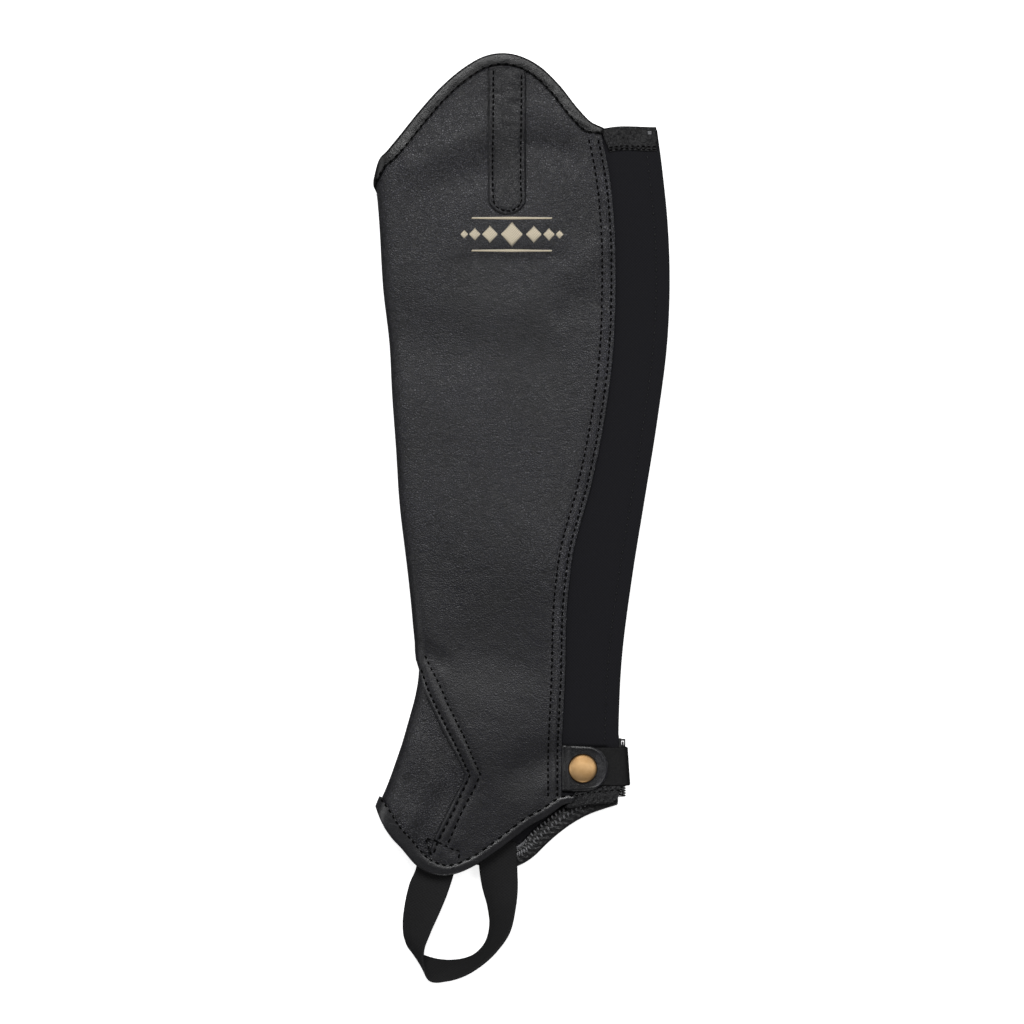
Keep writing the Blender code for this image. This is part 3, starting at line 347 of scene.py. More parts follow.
def add_node(
    tree: Tree, kind: str, inputs: dict[Any, Any], out: str | int = 0, **settings: Any
) -> bpy.types.NodeSocket:
    """Adds one node with its settings, socket values and links.

    Args:
        tree: The node tree.
        kind: Blender's name of the node type, without ShaderNode.
        inputs: Another node's output, or a plain value, for each input socket.
        out: The output that is handed on.
        settings: Properties of the node.

    Returns:
        That output socket.
    """
    node = tree.nodes.new("ShaderNode" + kind)
    for name, value in settings.items():
        setattr(node, name, value)
    feed(tree, node, inputs)
    return node.outputs[out]


@dataclass(frozen=True)
class Finish:
    """A surface finish: its name, its base colour and the shader's own numbers."""

    name: str
    colour: str
    roughness: float
    specular: float = 0.5
    metallic: float = 0.0
    sheen: float = 0.0
    coat: float = 0.0
    sheen_roughness: float = 0.4
    coat_roughness: float = 0.25

    def material(self) -> bpy.types.Material:
        """Makes the material the first time that it is asked for.

        Returns:
            The material.
        """
        found = bpy.data.materials.get(self.name)
        if found is not None:
            return found
        made = bpy.data.materials.new(self.name)
        made.use_nodes = True
        made.diffuse_color = linear(self.colour)
        tree = made.node_tree
        plain = {
            "Base Color": linear(self.colour), "Roughness": self.roughness, "Metallic": self.metallic,
            "Specular IOR Level": self.specular, "Sheen Weight": self.sheen, "Coat Weight": self.coat,
            "Sheen Roughness": self.sheen_roughness, "Coat Roughness": self.coat_roughness,
        }
        for inputs in (plain, self.pattern(tree)):
            feed(tree, tree.nodes["Principled BSDF"], inputs)
        return made

    def pattern(self, tree: Tree) -> dict[str, Any]:
        """What the finish's own pattern feeds to the shader; a plain finish has none."""
        return {}


@dataclass(frozen=True)
class Patterned(Finish):
    """A finish with a dark colour for its hollows, and a relief."""

    dark: str = "#0a0a0b"
    relief_mm: float = 0.1

    def shaded(self, tree: Tree, share: Any, height: Any, strength: float) -> dict[str, Any]:
        """Colour between dark and light by a share, and a raised height.

        Args:
            tree: The node tree.
            share: Output that says how light the colour is.
            height: Output that is raised.
            strength: Strength of the bump.

        Returns:
            What feeds the shader.
        """
        colour = {0: share, MIX_A: linear(self.dark), MIX_B: linear(self.colour)}
        raised = {"Height": height, "Distance": self.relief_mm * MM, "Strength": strength}
        return {
            "Base Color": add_node(tree, "Mix", colour, MIX_OUT, data_type="RGBA"),
            "Normal": add_node(tree, "Bump", raised),
        }


@dataclass(frozen=True)
class GrainLeather(Patterned):
    """Chrome-tanned cowhide, drum-dyed black: soft pebbles with fine valleys between, a satin top coat."""

    dark: str = "#101012"
    # The paler colour that the cut's third number mixes in: painted light
    painted_light: str = "#45454d"
    # Real grain is 0.5 to 0.8 mm and pores 0.1 mm: drawn coarser to show at 0.53 mm a pixel
    grain_mm: float = 1.15
    pore_mm: float = 0.6
    crinkle_mm: float = 4.4
    relief_mm: float = 0.085
    # How far the grain's outlines sway, over what run, and the size of the slow clouds of painted light and
    # shade in the colour
    sway_mm: float = 2.2
    sway_run_mm: float = 5.0
    cloud_mm: float = 26.0

    def pattern(self, tree: Tree) -> dict[str, Any]:
        """Pebbles, pores and crinkles as height; valleys darker and rougher than the pebbles' tops.

        Args:
            tree: The node tree.

        Returns:
            What feeds the shader.
        """
        place = add_node(tree, "TexCoord", {}, "Object")
        sway = {"Vector": place, "Scale": PER_METRE / self.sway_run_mm, "Detail": 2.0}
        sway = add_node(tree, "TexNoise", sway, "Color")
        sway = add_node(tree, "VectorMath", {0: sway, 1: (0.5,) * 3}, operation="SUBTRACT")
        swayed = {0: sway, 1: (self.sway_mm * MM,) * 3, 2: place}
        swayed = add_node(tree, "VectorMath", swayed, operation="MULTIPLY_ADD")
        cells = {"Vector": swayed, "Scale": PER_METRE / self.grain_mm}
        cells = add_node(tree, "TexVoronoi", cells, "Distance", feature="DISTANCE_TO_EDGE")
        pebble = {"Value": cells, "From Max": 0.32}
        pebble = add_node(tree, "MapRange", pebble, interpolation_type="SMOOTHSTEP")
        pores = {"Vector": swayed, "Scale": PER_METRE / self.pore_mm, "Detail": 2.0}
        pores = add_node(tree, "TexNoise", pores)
        # A crinkle runs where the noise crosses its middle
        folded = {"Vector": swayed, "Scale": PER_METRE / self.crinkle_mm, "Detail": 2.5, "Distortion": 0.6}
        folded = add_node(tree, "TexNoise", folded)
        folded = add_node(tree, "Math", {0: folded, 1: 0.5}, operation="SUBTRACT")
        folded = add_node(tree, "Math", {0: folded}, operation="ABSOLUTE")
        crinkle = {"Value": folded, "From Max": 0.07}
        crinkle = add_node(tree, "MapRange", crinkle, interpolation_type="SMOOTHSTEP")
        height = add_node(tree, "Math", {0: pores, 1: 0.35, 2: pebble}, operation="MULTIPLY_ADD")
        height = add_node(tree, "Math", {0: crinkle, 1: 0.8, 2: height}, operation="MULTIPLY_ADD")
        # A looser hide has a higher grain; the same number mixes a paler colour onto the tops, which is
        # painted light
        grain_and_light = add_node(tree, "Attribute", {}, "Vector", attribute_name=CUT)
        grain_and_light = add_node(tree, "SeparateXYZ", {0: grain_and_light}, "Z")
        relief = {0: grain_and_light, 1: self.relief_mm * MM, 2: self.relief_mm * MM}
        relief = add_node(tree, "Math", relief, operation="MULTIPLY_ADD")
        raised = add_node(tree, "Bump", {"Height": height, "Distance": relief, "Strength": 1.0})
        # Slow clouds of painted light and shade, darkening the colour here and there
        cloud = {"Vector": place, "Scale": PER_METRE / self.cloud_mm, "Detail": 3.0}
        cloud = add_node(tree, "TexNoise", cloud)
        shade = add_node(tree, "Math", {0: cloud, 1: pebble}, operation="MULTIPLY", use_clamp=True)
        shade = add_node(tree, "Math", {0: shade, 1: 1.8}, operation="MULTIPLY", use_clamp=True)
        painted_share = add_node(tree, "Math", {0: grain_and_light, 1: 0.6}, operation="MULTIPLY", use_clamp=True)
        top = {0: painted_share, MIX_A: linear(self.colour), MIX_B: linear(self.painted_light)}
        top = add_node(tree, "Mix", top, MIX_OUT, data_type="RGBA")
        colour = {0: shade, MIX_A: linear(self.dark), MIX_B: top}
        colour = add_node(tree, "Mix", colour, MIX_OUT, data_type="RGBA")
        rough = {"Value": shade, "To Min": self.roughness + 0.12, "To Max": self.roughness - 0.05}
        return {"Base Color": colour, "Roughness": add_node(tree, "MapRange", rough), "Normal": raised}


@dataclass(frozen=True)
class Suede(Patterned):
    """The leather's flesh side: short matted fibres, so it has no gloss and an uneven nap."""

    dark: str = "#141416"
    # Real fibres are 0.05 mm: drawn as tufts that show
    nap_mm: float = 0.9
    relief_mm: float = 0.15

    def pattern(self, tree: Tree) -> dict[str, Any]:
        """Fibres as fine noise, in colour and height.

        Args:
            tree: The node tree.

        Returns:
            What feeds the shader.
        """
        fibre = {"Vector": add_node(tree, "TexCoord", {}, "Object"), "Scale": PER_METRE / self.nap_mm}
        fibre = add_node(tree, "TexNoise", fibre | {"Detail": 4.0})
        return self.shaded(tree, fibre, fibre, 0.8)


@dataclass(frozen=True)
class WovenCloth(Patterned):
    """Yarns that cross over and under, or knit loops; matte, with the light caught on raised yarns."""

    # Real yarns stand 0.3 to 0.5 mm apart: drawn coarser to show at 0.53 mm a pixel
    across_mm: float = 0.9
    along_mm: float = 0.9
    relief_mm: float = 0.12
    lint: float = 0.25
    lint_mm: float = 0.7

    def pattern(self, tree: Tree) -> dict[str, Any]:
        """Crossing waves on the flat cut's own mm, with lint noise over them.

        Args:
            tree: The node tree.

        Returns:
            What feeds the shader.
        """
        parts = add_node(tree, "Attribute", {}, "Vector", attribute_name=CUT)
        yarns = []
        for axis, pitch in (("X", self.across_mm), ("Y", self.along_mm)):
            angle = {0: add_node(tree, "SeparateXYZ", {0: parts}, axis), 1: math.pi / pitch}
            angle = add_node(tree, "Math", angle, operation="MULTIPLY")
            yarns.append(add_node(tree, "Math", {0: angle}, operation="SINE"))
        crossed = add_node(tree, "Math", dict(enumerate(yarns)), operation="MULTIPLY")
        lint = {"Vector": add_node(tree, "TexCoord", {}, "Object"), "Scale": PER_METRE / self.lint_mm}
        lint = add_node(tree, "TexNoise", lint | {"Detail": 3.0})
        most = self.lint * 4.0
        height = add_node(tree, "Math", {0: lint, 1: most, 2: crossed}, operation="MULTIPLY_ADD")
        shade = add_node(tree, "MapRange", {"Value": height, "From Min": -1.0, "From Max": 1.0 + most})
        return self.shaded(tree, shade, shade, 1.0)


@dataclass(frozen=True)
class SpunThread(Patterned):
    """Twisted sewing thread: plies run round it at a slant and catch the light one by one."""

    dark: str = "#070708"
    # Real plies turn every 0.5 mm: drawn coarser to show
    twist_mm: float = 1.0
    girth_mm: float = 2.1
    relief_mm: float = 0.08

    def pattern(self, tree: Tree) -> dict[str, Any]:
        """A slanting wave round the thread, two plies to a turn.

        Args:
            tree: The node tree.

        Returns:
            What feeds the shader.
        """
        place = add_node(tree, "Attribute", {}, "Vector", attribute_name=CUT)
        ply = {0: place, 1: (2.0 * math.tau / self.girth_mm, math.tau / self.twist_mm, 0.0)}
        ply = add_node(tree, "VectorMath", ply, "Value", operation="DOT_PRODUCT")
        ply = add_node(tree, "Math", {0: ply}, operation="SINE")
        shade = add_node(tree, "MapRange", {"Value": ply, "From Min": -1.0})
        return self.shaded(tree, shade, shade, 0.9)


@dataclass(frozen=True)
class WornMetal(Patterned):
    """Stamped metal, tumbled then lacquered: a soft brushed sheen with small marks and darker hollows."""

    dark: str = "#8a6236"
    # The colour of painted shade, laid where a piece's cut says
    painted_shade: str = "#4a2c12"
    # Real tumbling marks are 0.05 mm: drawn coarser to show
    mark_mm: float = 0.5
    cloud_mm: float = 4.0
    relief_mm: float = 0.02

    def pattern(self, tree: Tree) -> dict[str, Any]:
        """Fine marks in roughness and height, slow clouds in colour, painted shade where the piece says.

        Args:
            tree: The node tree.

        Returns:
            What feeds the shader.
        """
        place = add_node(tree, "TexCoord", {}, "Object")
        marks, clouds = (
            add_node(tree, "TexNoise", {"Vector": place, "Scale": PER_METRE / size, "Detail": fine})
            for size, fine in ((self.mark_mm, 4.0), (self.cloud_mm, 2.0))
        )
        shade = {0: marks, 1: 0.5, 2: clouds}
        shade = add_node(tree, "Math", shade, operation="MULTIPLY_ADD", use_clamp=True)
        found = self.shaded(tree, shade, marks, 0.5)
        painted_share = add_node(tree, "Attribute", {}, "Vector", attribute_name=CUT)
        painted_share = add_node(tree, "SeparateXYZ", {0: painted_share}, "Z")
        colour = {0: painted_share, MIX_A: found["Base Color"], MIX_B: linear(self.painted_shade)}
        colour = add_node(tree, "Mix", colour, MIX_OUT, data_type="RGBA")
        rough = {"Value": marks, "To Min": self.roughness - 0.06, "To Max": self.roughness + 0.08}
        return found | {"Base Color": colour, "Roughness": add_node(tree, "MapRange", rough)}


@dataclass(frozen=True)
class StudioPaper(Finish):
    """Seamless white paper, lit until it is white in the picture."""

    glow: float = 0.8

    def pattern(self, tree: Tree) -> dict[str, Any]:
        """A little light of its own, as paper lit from below has."""
        return {"Emission Color": linear("#ffffff"), "Emission Strength": self.glow}


# Full-grain hide with a satin top coat: each pebble takes a small light, so the black reads as dark grey
COWHIDE = GrainLeather("black_cowhide", "#1d1d25", 0.38, dark="#0a0a0c")
# The same hide drawn in by close sewing: sharp cross crinkles
CREASED_HIDE = GrainLeather(
    "black_cowhide_creased", "#1d1d24", 0.37, specular=0.52, dark="#0a0a0c", crinkle_mm=3.2, relief_mm=0.13
)
# Hide shaved thin and rolled: nearly smooth, so its crown holds one long highlight
BINDING_HIDE = GrainLeather(
    "black_binding_leather", "#121214", 0.27, specular=0.46, dark="#080809", grain_mm=0.9, crinkle_mm=3.0,
    relief_mm=0.03,
)
# The foot's binding: a paler copy of the binding leather, painted light
PAINTED_LIGHT_BINDING_HIDE = replace(
    BINDING_HIDE, name="black_binding_leather_painted_light", colour="#303033", dark="#131315", roughness=0.25,
    specular=0.6,
)
# Pressed hide: close grain, and a bead that catches the light
TAB_HIDE = GrainLeather(
    "black_tab_leather", "#17171b", 0.3, specular=0.55, dark="#0a0a0b", grain_mm=0.7, crinkle_mm=5.0,
    relief_mm=0.025,
)
# Waxed hide bent round the zip: dull, with hardly a highlight
STRAP_HIDE = GrainLeather(
    "black_strap_leather", "#131314", 0.6, specular=0.28, dark="#0a0a0b", grain_mm=0.7, crinkle_mm=5.0,
    relief_mm=0.04,
)
# Shaved flesh side: matte, a little paler than the grain side
FLESH_SIDE = Suede("black_suede_side", "#333337", 0.95, specular=0.15, sheen=0.15)
# Fine elastic knit: the flattest black of all
STRETCH_KNIT = WovenCloth(
    "black_stretch_knit", "#252529", 0.92, specular=0.1, sheen=0.04, across_mm=0.8, along_mm=0.8,
    relief_mm=0.05, lint=0.4, dark="#161618",
)
# Knitted elastic band, folded: coarse ribs with broken glints
HEM_BAND = WovenCloth(
    "black_hem_band", "#28282a", 0.4, specular=0.38, across_mm=2.6, along_mm=1.7, relief_mm=2.2, lint=2.4,
    lint_mm=1.5, dark="#040405",
)
# Woven nylon tape: long floats that shine in short dashes
GLOSSY_TAPE = WovenCloth(
    "black_inner_hem_tape", "#18181a", 0.34, across_mm=2.2, along_mm=1.6, relief_mm=0.5, lint=0.9,
    lint_mm=1.0, dark="#060607",
)
# Woven polyester: dull dark grey
ZIP_TAPE = WovenCloth("black_zip_tape", "#3a3a3d", 0.8, specular=0.3)
# Tight-woven webbing: fine cross ribs without gloss
STRAP_WEBBING = WovenCloth(
    "black_webbing", "#2c2c2d", 0.88, specular=0.2, across_mm=1.1, along_mm=0.8, lint=0.9, dark="#0e0e0e"
)
# Bonded polyester sunk in its holes: matte black dashes
SEWING_THREAD = SpunThread("black_polyester_thread", "#09090a", 0.9, specular=0.06, dark="#030303")
# Rayon satin stitch: a creamy light across each block
MOTIF_THREAD = SpunThread(
    "cream_rayon_thread", "#efe6d2", 0.42, sheen=0.2, dark="#c9bb9f", twist_mm=1.4, girth_mm=1.5
)
# Textured polyester that gives with the cloth: small soft glints
STRETCH_THREAD = SpunThread("black_stretch_thread", "#1d1d20", 0.45, specular=0.32, dark="#0a0a0b")
# Bare filament, packed close: pale grey dots, partly their own colour and partly painted highlight for the
# glints of close stitches
TACK_THREAD = SpunThread("grey_tack_thread", "#98989c", 0.35, specular=0.8, dark="#1c1c1e")
# Drawn nylon wire: round and shiny
ZIP_NYLON = Finish("black_zip_nylon", "#121214", 0.24, specular=0.6)
# Die-cast, then enamelled: smooth black with a thin clear shine
ENAMEL = WornMetal("black_enamel_steel", "#1b1b1d", 0.42, coat=0.3, dark="#0c0c0d")
# Stamped brass under lacquer: warm, softly brushed; its brown rim and darker upper crescent are painted
# shade
BRASS = WornMetal("lacquered_brass", "#dbb584", 0.48, metallic=1.0, dark="#b98d55")
# Bright seamless paper: an even white without an edge
PAPER = StudioPaper("white_studio_paper", "#f4f4f4", 0.9, specular=0.2)


# The leg's form, as the solids have it


@dataclass(frozen=True)
class LegForm:
    """The leather as a tube pressed flat, with its creases. Tables are in plan mm."""

    fold: Table = (
        (-152.6, -75.8), (-141, -71), (-132.5, -67.8), (-117.7, -62.6), (-105, -59.2), (-92, -57.3),
        (-72, -56.3), (-54.1, -57.6), (-11.7, -61.8), (30.7, -65.6), (73.1, -69.3), (115.5, -73),
        (157.9, -75.3), (178.1, -76.9), (200, -77.4),
    )
    back: Table = (
        (-155, 51.6), (-115.5, 51.9), (-75.3, 53.7), (-32.9, 59), (9.5, 65.8), (51.9, 72.6), (94.3, 77.9),
        (126, 79.1), (157.9, 77.9), (187.6, 74.8), (210.9, 71.8), (250, 69.4),
    )
    leather_back: Table = (
        (-151.1, 21.4), (-120.3, 21.7), (-84.8, 23.3), (-42.4, 24.7), (-18.6, 27.6), (17, 37.1),
        (52.5, 44.3), (88, 48.8), (128.8, 50.1), (152.1, 49.6), (182.9, 46.6), (205.9, 41.9),
    )
    near_top: Table = (
        (-76.9, 178.1), (-74.7, 186.6), (-70, 192.9), (-64.7, 199.3), (-51.9, 215.2), (-40.3, 227.9),
        (-28.9, 237.4), (-19.6, 242.7), (-10.1, 244.6), (-0.5, 243), (10.1, 237.2), (19.6, 227.9),
        (29.7, 215.2), (36.3, 208.6), (41.9, 205.9),
    )
    near_bottom: Table = (
        (-75.8, -152.6), (-73.1, -158.5), (-67.8, -167), (-62, -173.4), (-54.3, -182.3), (-46.6, -186.7),
        (-40.8, -187.9), (-34.5, -186.8), (-24.9, -182.7), (-14.6, -176), (-4, -168), (3.4, -162.4),
        (13, -157), (21.4, -151.1),
    )
    far_top: Table = (
        (-76.9, 178.1), (-73.1, 172.8), (-64.1, 169.1), (-48.2, 167), (-27, 169.6), (-5.8, 176),
        (15.4, 185.5), (36.6, 195), (55.1, 201.9), (71.2, 205),
    )
    far_bottom: Table = (
        (-75.8, -152.6), (-70, -160.6), (-58.8, -171.2), (-42.9, -178.6), (-29.7, -181.7), (-16.4, -183.9),
        (-8.5, -184.6), (-3.2, -184.1), (1.4, -182.2), (7, -178.2), (11.2, -174), (17.5, -168.2),
        (26, -161.8), (34, -157.2), (45.1, -153), (51.1, -151.2),
    )
    roll: Table = (
        (-190, 8.4), (-140, 8.6), (-75, 7.6), (0, 7.2), (120, 7.6), (250, 7.2),
    )
    swells: Table = (
        (-6, 128, 34, 12, -1.1), (18, 170, 30, 60, 0.9), (-20, 70, 45, 70, 0.9), (-28, -62, 34, 22, -0.9),
        (0, -20, 26, 60, 0.6), (-16, -118, 22, 26, 0.8),
    )
    # Each crease: its two ends in plan, width and depth; a trough, or a ridge where the depth is negative
    near_creases: Table = (
        (-27, 136.5, 20, 138, 5, 0.85), (27, 130, 42, 142, 7, -1.2), (22, 108, 40, 114, 8, 0.9),
        (6, 217, 22, 210, 6, -0.9), (4, 197, 24, 193, 7, 2.2), (-56, 187, -20, 206, 10, -2.1),
        (-38, 178, -20, 182, 8, 1.3), (25, 190, 30, 150, 5, 0.5), (-16, 186, 2, 186, 11, 1),
        (-60, 94, 6, 84, 22, 2.1), (-50, 8, 8, -20, 24, -1.5), (-30, 44, 4, -6, 9, -0.4),
        (-46, -75, 4, -79, 14, 0.6), (-53, -68, -42, -76, 4, 0.6), (20, -127, 2, -132, 11, 1.2),
        (18, -134, 6, -154, 5, -0.4), (30, 96, 26, 40, 7, 0.35), (-62, -139, -36, -146, 12, 1.1),
        (-58, -112, -40, -117, 3, 0.15), (-60, -122, -42, -126, 2.6, 0.12), (-63, -146, -44, -153, 3, 0.12),
    )
    far_creases: Table = (
        (-40, 132, 12, 126, 6, 0.7), (20, 96, 46, 104, 6, 0.6), (-46, 44, -8, 36, 8, 0.5),
        (10, -8, 38, -18, 7, 0.5), (-50, -66, -28, -74, 4.5, 0.7), (-2, -100, 24, -92, 6, 0.5),
    )
    instep_seam: Table = (
        (-55.1, -77.9), (-51.4, -91.2), (-46.1, -101.8), (-40.8, -113.4), (-36, -121.9), (-30.6, -132),
        (-28.9, -136.2), (-30.7, -140.5), (-33, -144.7), (-38.7, -155.8), (-43.5, -165.4), (-46.6, -173.3),
    )
    back_height: float = 10.1
    # The far wall stands this far off the floor at its bound edges, and how soon it sinks from there
    edge_lift: float = STRIP + FOLD_GAP + 0.15
    lift_hold: float = 9.0
    lift_run: float = 14.0
    # Where the snap strap passes under the far wall: its foot and head, its end and the run-out
    strap_y: tuple[float, float] = (-148.0, -118.0)
    strap_x: float = 36.0
    strap_run: float = 11.0
    notch_y: float = -74.5
    seam_foot: tuple[float, float] = (-49.3, -182.3)
    far_seam_share: float = 0.92
    # Slow ripples: height, seed, how many waves, shortest and longest
    ripples: tuple[tuple[float, int, int, float, float], ...] = (
        (0.22, 11, 9, 38, 85), (0.045, 12, 12, 9, 18),
    )
    # A move of the far wall is squared over the first, and is at most the second
    far_soft: float = 0.35
    far_most: float = 1.2
    samples: int = 241
    # A normal is taken over twice this, mm
    probe: float = 0.05

    def radius(self, y: Any) -> Array:
        """Radius of the roll along the shin."""
        return read(self.roll, y)

    def seam_share(self, side: Side) -> float:
        """How long the instep seam is on a wall, as a share of the near one."""
        return 1.0 if side is Side.NEAR else self.far_seam_share

    def far_lift(self, x: Array, y: Array) -> Array:
        """How far the far wall stands off the floor, at its bound edges and over the snap strap.

        Args:
            x: Plan x, mm.
            y: Plan y, mm.

        Returns:
            Lift, mm.
        """
        to_edge = np.minimum(read(self.far_top, x) - y, y - read(self.far_bottom, x))
        edge = self.edge_lift * (1.0 - ease((to_edge - self.lift_hold) / self.lift_run))
        low, high, inner = (
            ease(gap / self.strap_run + 1.0)
            for gap in (y - self.strap_y[0], self.strap_y[1] - y, x - self.strap_x)
        )
        return np.maximum(edge, (STRAP + 2.0 * GAP) * (low * high) * inner)

    def near_height(self, x: Array, y: Array) -> Array:
        """Height of the near wall's outer face beyond the roll.

        Args:
            x: Plan x, mm.
            y: Plan y, mm.

        Returns:
            Height, mm.
        """
        radius = self.radius(y)
        start = read(self.fold, y) + radius
        share = (x - start) / (read(self.back, y) - start)
        height = 2.0 * radius - (2.0 * radius - self.back_height) * ease(share)
        held = ease(share * 4.0) * ease((1.0 - share) * 4.0)
        for at_x, at_y, half_x, half_y, rise in self.swells:
            height = height + held * rise * bump(x, at_x, half_x) * bump(y, at_y, half_y)
        return height

    def face(self, reach: Array, y: Array) -> Array:
        """The tube's outer face, before the creases.

        Args:
            reach: Length from the fold, mm.
            y: Plan y, mm.

        Returns:
            Points (..., 3) in plan mm.
        """
        radius = self.radius(y)
        angle = np.clip(np.abs(reach) / radius, 0.0, QUARTER)
        level = np.maximum(np.abs(reach) - radius * QUARTER, 0.0)
        x = read(self.fold, y) + radius * (1.0 - np.cos(angle)) + level
        near = np.where(level > 0.0, self.near_height(x, y), radius + radius * np.sin(angle))
        far = radius - radius * np.sin(angle) + self.far_lift(x, y) * np.sin(angle) ** 2
        return joined(x, y, np.where(reach >= 0.0, near, far))

    def out(self, reach: Array, y: Array) -> Array:
        """Unit normals of the tube, pointing out of it."""
        across = self.face(reach + self.probe, y) - self.face(reach - self.probe, y)
        return unit(np.cross(across, self.face(reach, y + self.probe) - self.face(reach, y - self.probe)))

    def relief(self, reach: Array, y: Array) -> Array:
        """How far the creases and slow ripples move the leather outwards.

        Args:
            reach: Length from the fold, mm.
            y: Plan y, mm.

        Returns:
            The move, mm; on the far wall it is only ever inwards, off the floor.
        """
        places = joined(reach, y)
        off_roll = ease((np.abs(reach) - 5.0) / 14.0)
        moved = 0.0
        for height, seed, count, shortest, longest in self.ripples:
            moved = moved + height * off_roll * waves(seed, count, shortest, longest)(places)
        walls = (Side.NEAR, self.near_creases), (Side.FAR, self.far_creases)
        for side, (*ends, width, depth) in ((side, row) for side, rows in walls for row in rows):
            start, end = self.line((ends[:2], ends[2:]), side)
            run, gap = end - start, places - start
            share = np.clip(gap @ run / (run @ run), 0.0, 1.0)
            apart = np.linalg.norm(gap - share[..., None] * run, axis=-1)
            moved = moved - depth * bump(apart, 0.0, width)
        inwards = np.maximum(-np.minimum(moved, 0.0) ** 2 / self.far_soft, -self.far_most)
        blend = ease(-reach / 8.0)
        return moved * (1.0 - blend) + inwards * blend

    def at(self, reach: Any, y: Any, depth: Any) -> Array:
        """Plan points (..., 3) at a depth below the leather's outer face; a negative depth stands out."""
        reach, y, depth = np.broadcast_arrays(*(np.asarray(v, float) for v in (reach, y, depth)))
        return self.face(reach, y) + (self.relief(reach, y) - depth)[..., None] * self.out(reach, y)

    def reach(self, x: Any, y: Any, side: Side) -> Array:
        """Length along the leather from the fold to a plan point.

        Args:
            x: Plan x, mm.
            y: Plan y, mm.
            side: The wall.

        Returns:
            The length, mm; negative on the far wall.
        """
        radius = self.radius(y)
        across = np.maximum(x - read(self.fold, y), 0.0)
        curled = radius * np.arccos(np.clip(1.0 - across / radius, -1.0, 1.0))
        return side.value * np.where(across < radius, curled, across - radius + radius * QUARTER)

    def places(self, x: Any, y: Any, side: Side) -> Array:
        """Plan points as places (..., 2) in (reach, y)."""
        return joined(self.reach(x, y, side), y)

    def line(self, table: Table, side: Side) -> Array:
        """Plan points (x, y) as straight runs in (reach, y)."""
        return self.places(*np.array(table).T, side)

    def edge(self, table: Table, side: Side) -> Array:
        """A cut edge, a table of (x, y), as a dense line in (reach, y)."""
        x = np.linspace(table[0][0], table[-1][0], self.samples)
        return self.places(x, read(table, x), side)

    def upright(self, table: Table, low: float, high: float, side: Side, inset: float = 0.0) -> Array:
        """A table of (y, x) as a line in (reach, y) from low to high y, at an inset towards the shin."""
        y = np.linspace(low, high, self.samples)
        return self.places(read(table, y) - inset, y, side)

    def seam(self, side: Side) -> Array:
        """The pointed instep seam from its foot on the bottom edge up to the notch at the fold.

        Args:
            side: The wall.

        Returns:
            The line in (reach, y).
        """
        bottom = self.edge(self.near_bottom if side is Side.NEAR else self.far_bottom, side)
        seam = self.line(self.instep_seam, side)
        seam[:, 1] = self.notch_y + (seam[:, 1] - self.notch_y) * self.seam_share(side)
        foot = self.places(*self.seam_foot, side)[0]
        reach, rows_y = np.array([(foot, cut_height(bottom, foot)), *seam[::-1], (0.0, self.notch_y)]).T
        y = np.linspace(rows_y[0], rows_y[-1], self.samples)
        return joined(np.interp(y, rows_y, reach), y)


def cut_height(edge: Array, reach: Any) -> Any:
    """Height of an edge at a given reach."""
    order = np.argsort(edge[:, 0])
    return np.interp(reach, edge[order, 0], edge[order, 1])


def part_of(edge: Array, start: float, end: float) -> Array:
    """The stretch of an edge between two reaches, in that direction."""
    reaches = np.linspace(start, end, 241)
    return joined(reaches, cut_height(edge, reaches))


# Meshes


def in_scene(name: str, data: bpy.types.ID) -> Piece:
    """Adds an object of a mesh, a camera or a lamp to the scene.

    Args:
        name: Its name.
        data: What it shows.

    Returns:
        The object.
    """
    made = bpy.data.objects.new(name, data)
    bpy.context.scene.collection.objects.link(made)
    return made


def mesh_object(
    name: str,
    points: Array,
    faces: Sequence[Sequence[int]],
    finishes: Sequence[Finish],
    cut: Array | None = None,
    groups: Array | None = None,
) -> Piece:
    """Makes a smooth-shaded object from points in plan mm.

    Args:
        name: The piece's name.
        points: Points (n, 3) in plan mm.
        faces: Corner numbers of each face.
        finishes: The finishes of its material slots.
        cut: Place of each point on the flat cut, mm, for weaves.
        groups: Material slot of each face.

    Returns:
        The object.
    """
    mesh = bpy.data.meshes.new(name)
    mesh.from_pydata(((points + PLACE) * MM).tolist(), [], [tuple(f) for f in faces])
    for finish in finishes:
        mesh.materials.append(finish.material())
    mesh.polygons.foreach_set("use_smooth", np.ones(len(mesh.polygons), bool))
    if groups is not None:
        mesh.polygons.foreach_set("material_index", groups.astype(np.int32))
    if cut is not None:
        flat = np.zeros((len(points), 3), np.float32)
        flat[:, : cut.shape[1]] = cut
        mesh.attributes.new(CUT, "FLOAT_VECTOR", "POINT").data.foreach_set("vector", flat.ravel())
    mesh.update()
    return in_scene(name, mesh)


def dress(made: Piece, slot: Slot | None = None, *stands_for: str) -> Piece:
    """Rides a piece on the leg and hides the solids that it stands for.

    Args:
        made: The piece.
        slot: The record's material slot, if it has one; not used.
        stands_for: CAD nodes that it replaces.

    Returns:
        The piece.
    """
    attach(made, LEG_BODY)
    if stands_for:
        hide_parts(*stands_for)
    LOG.info("%s: %d faces", made.name, len(made.data.polygons))
    return made


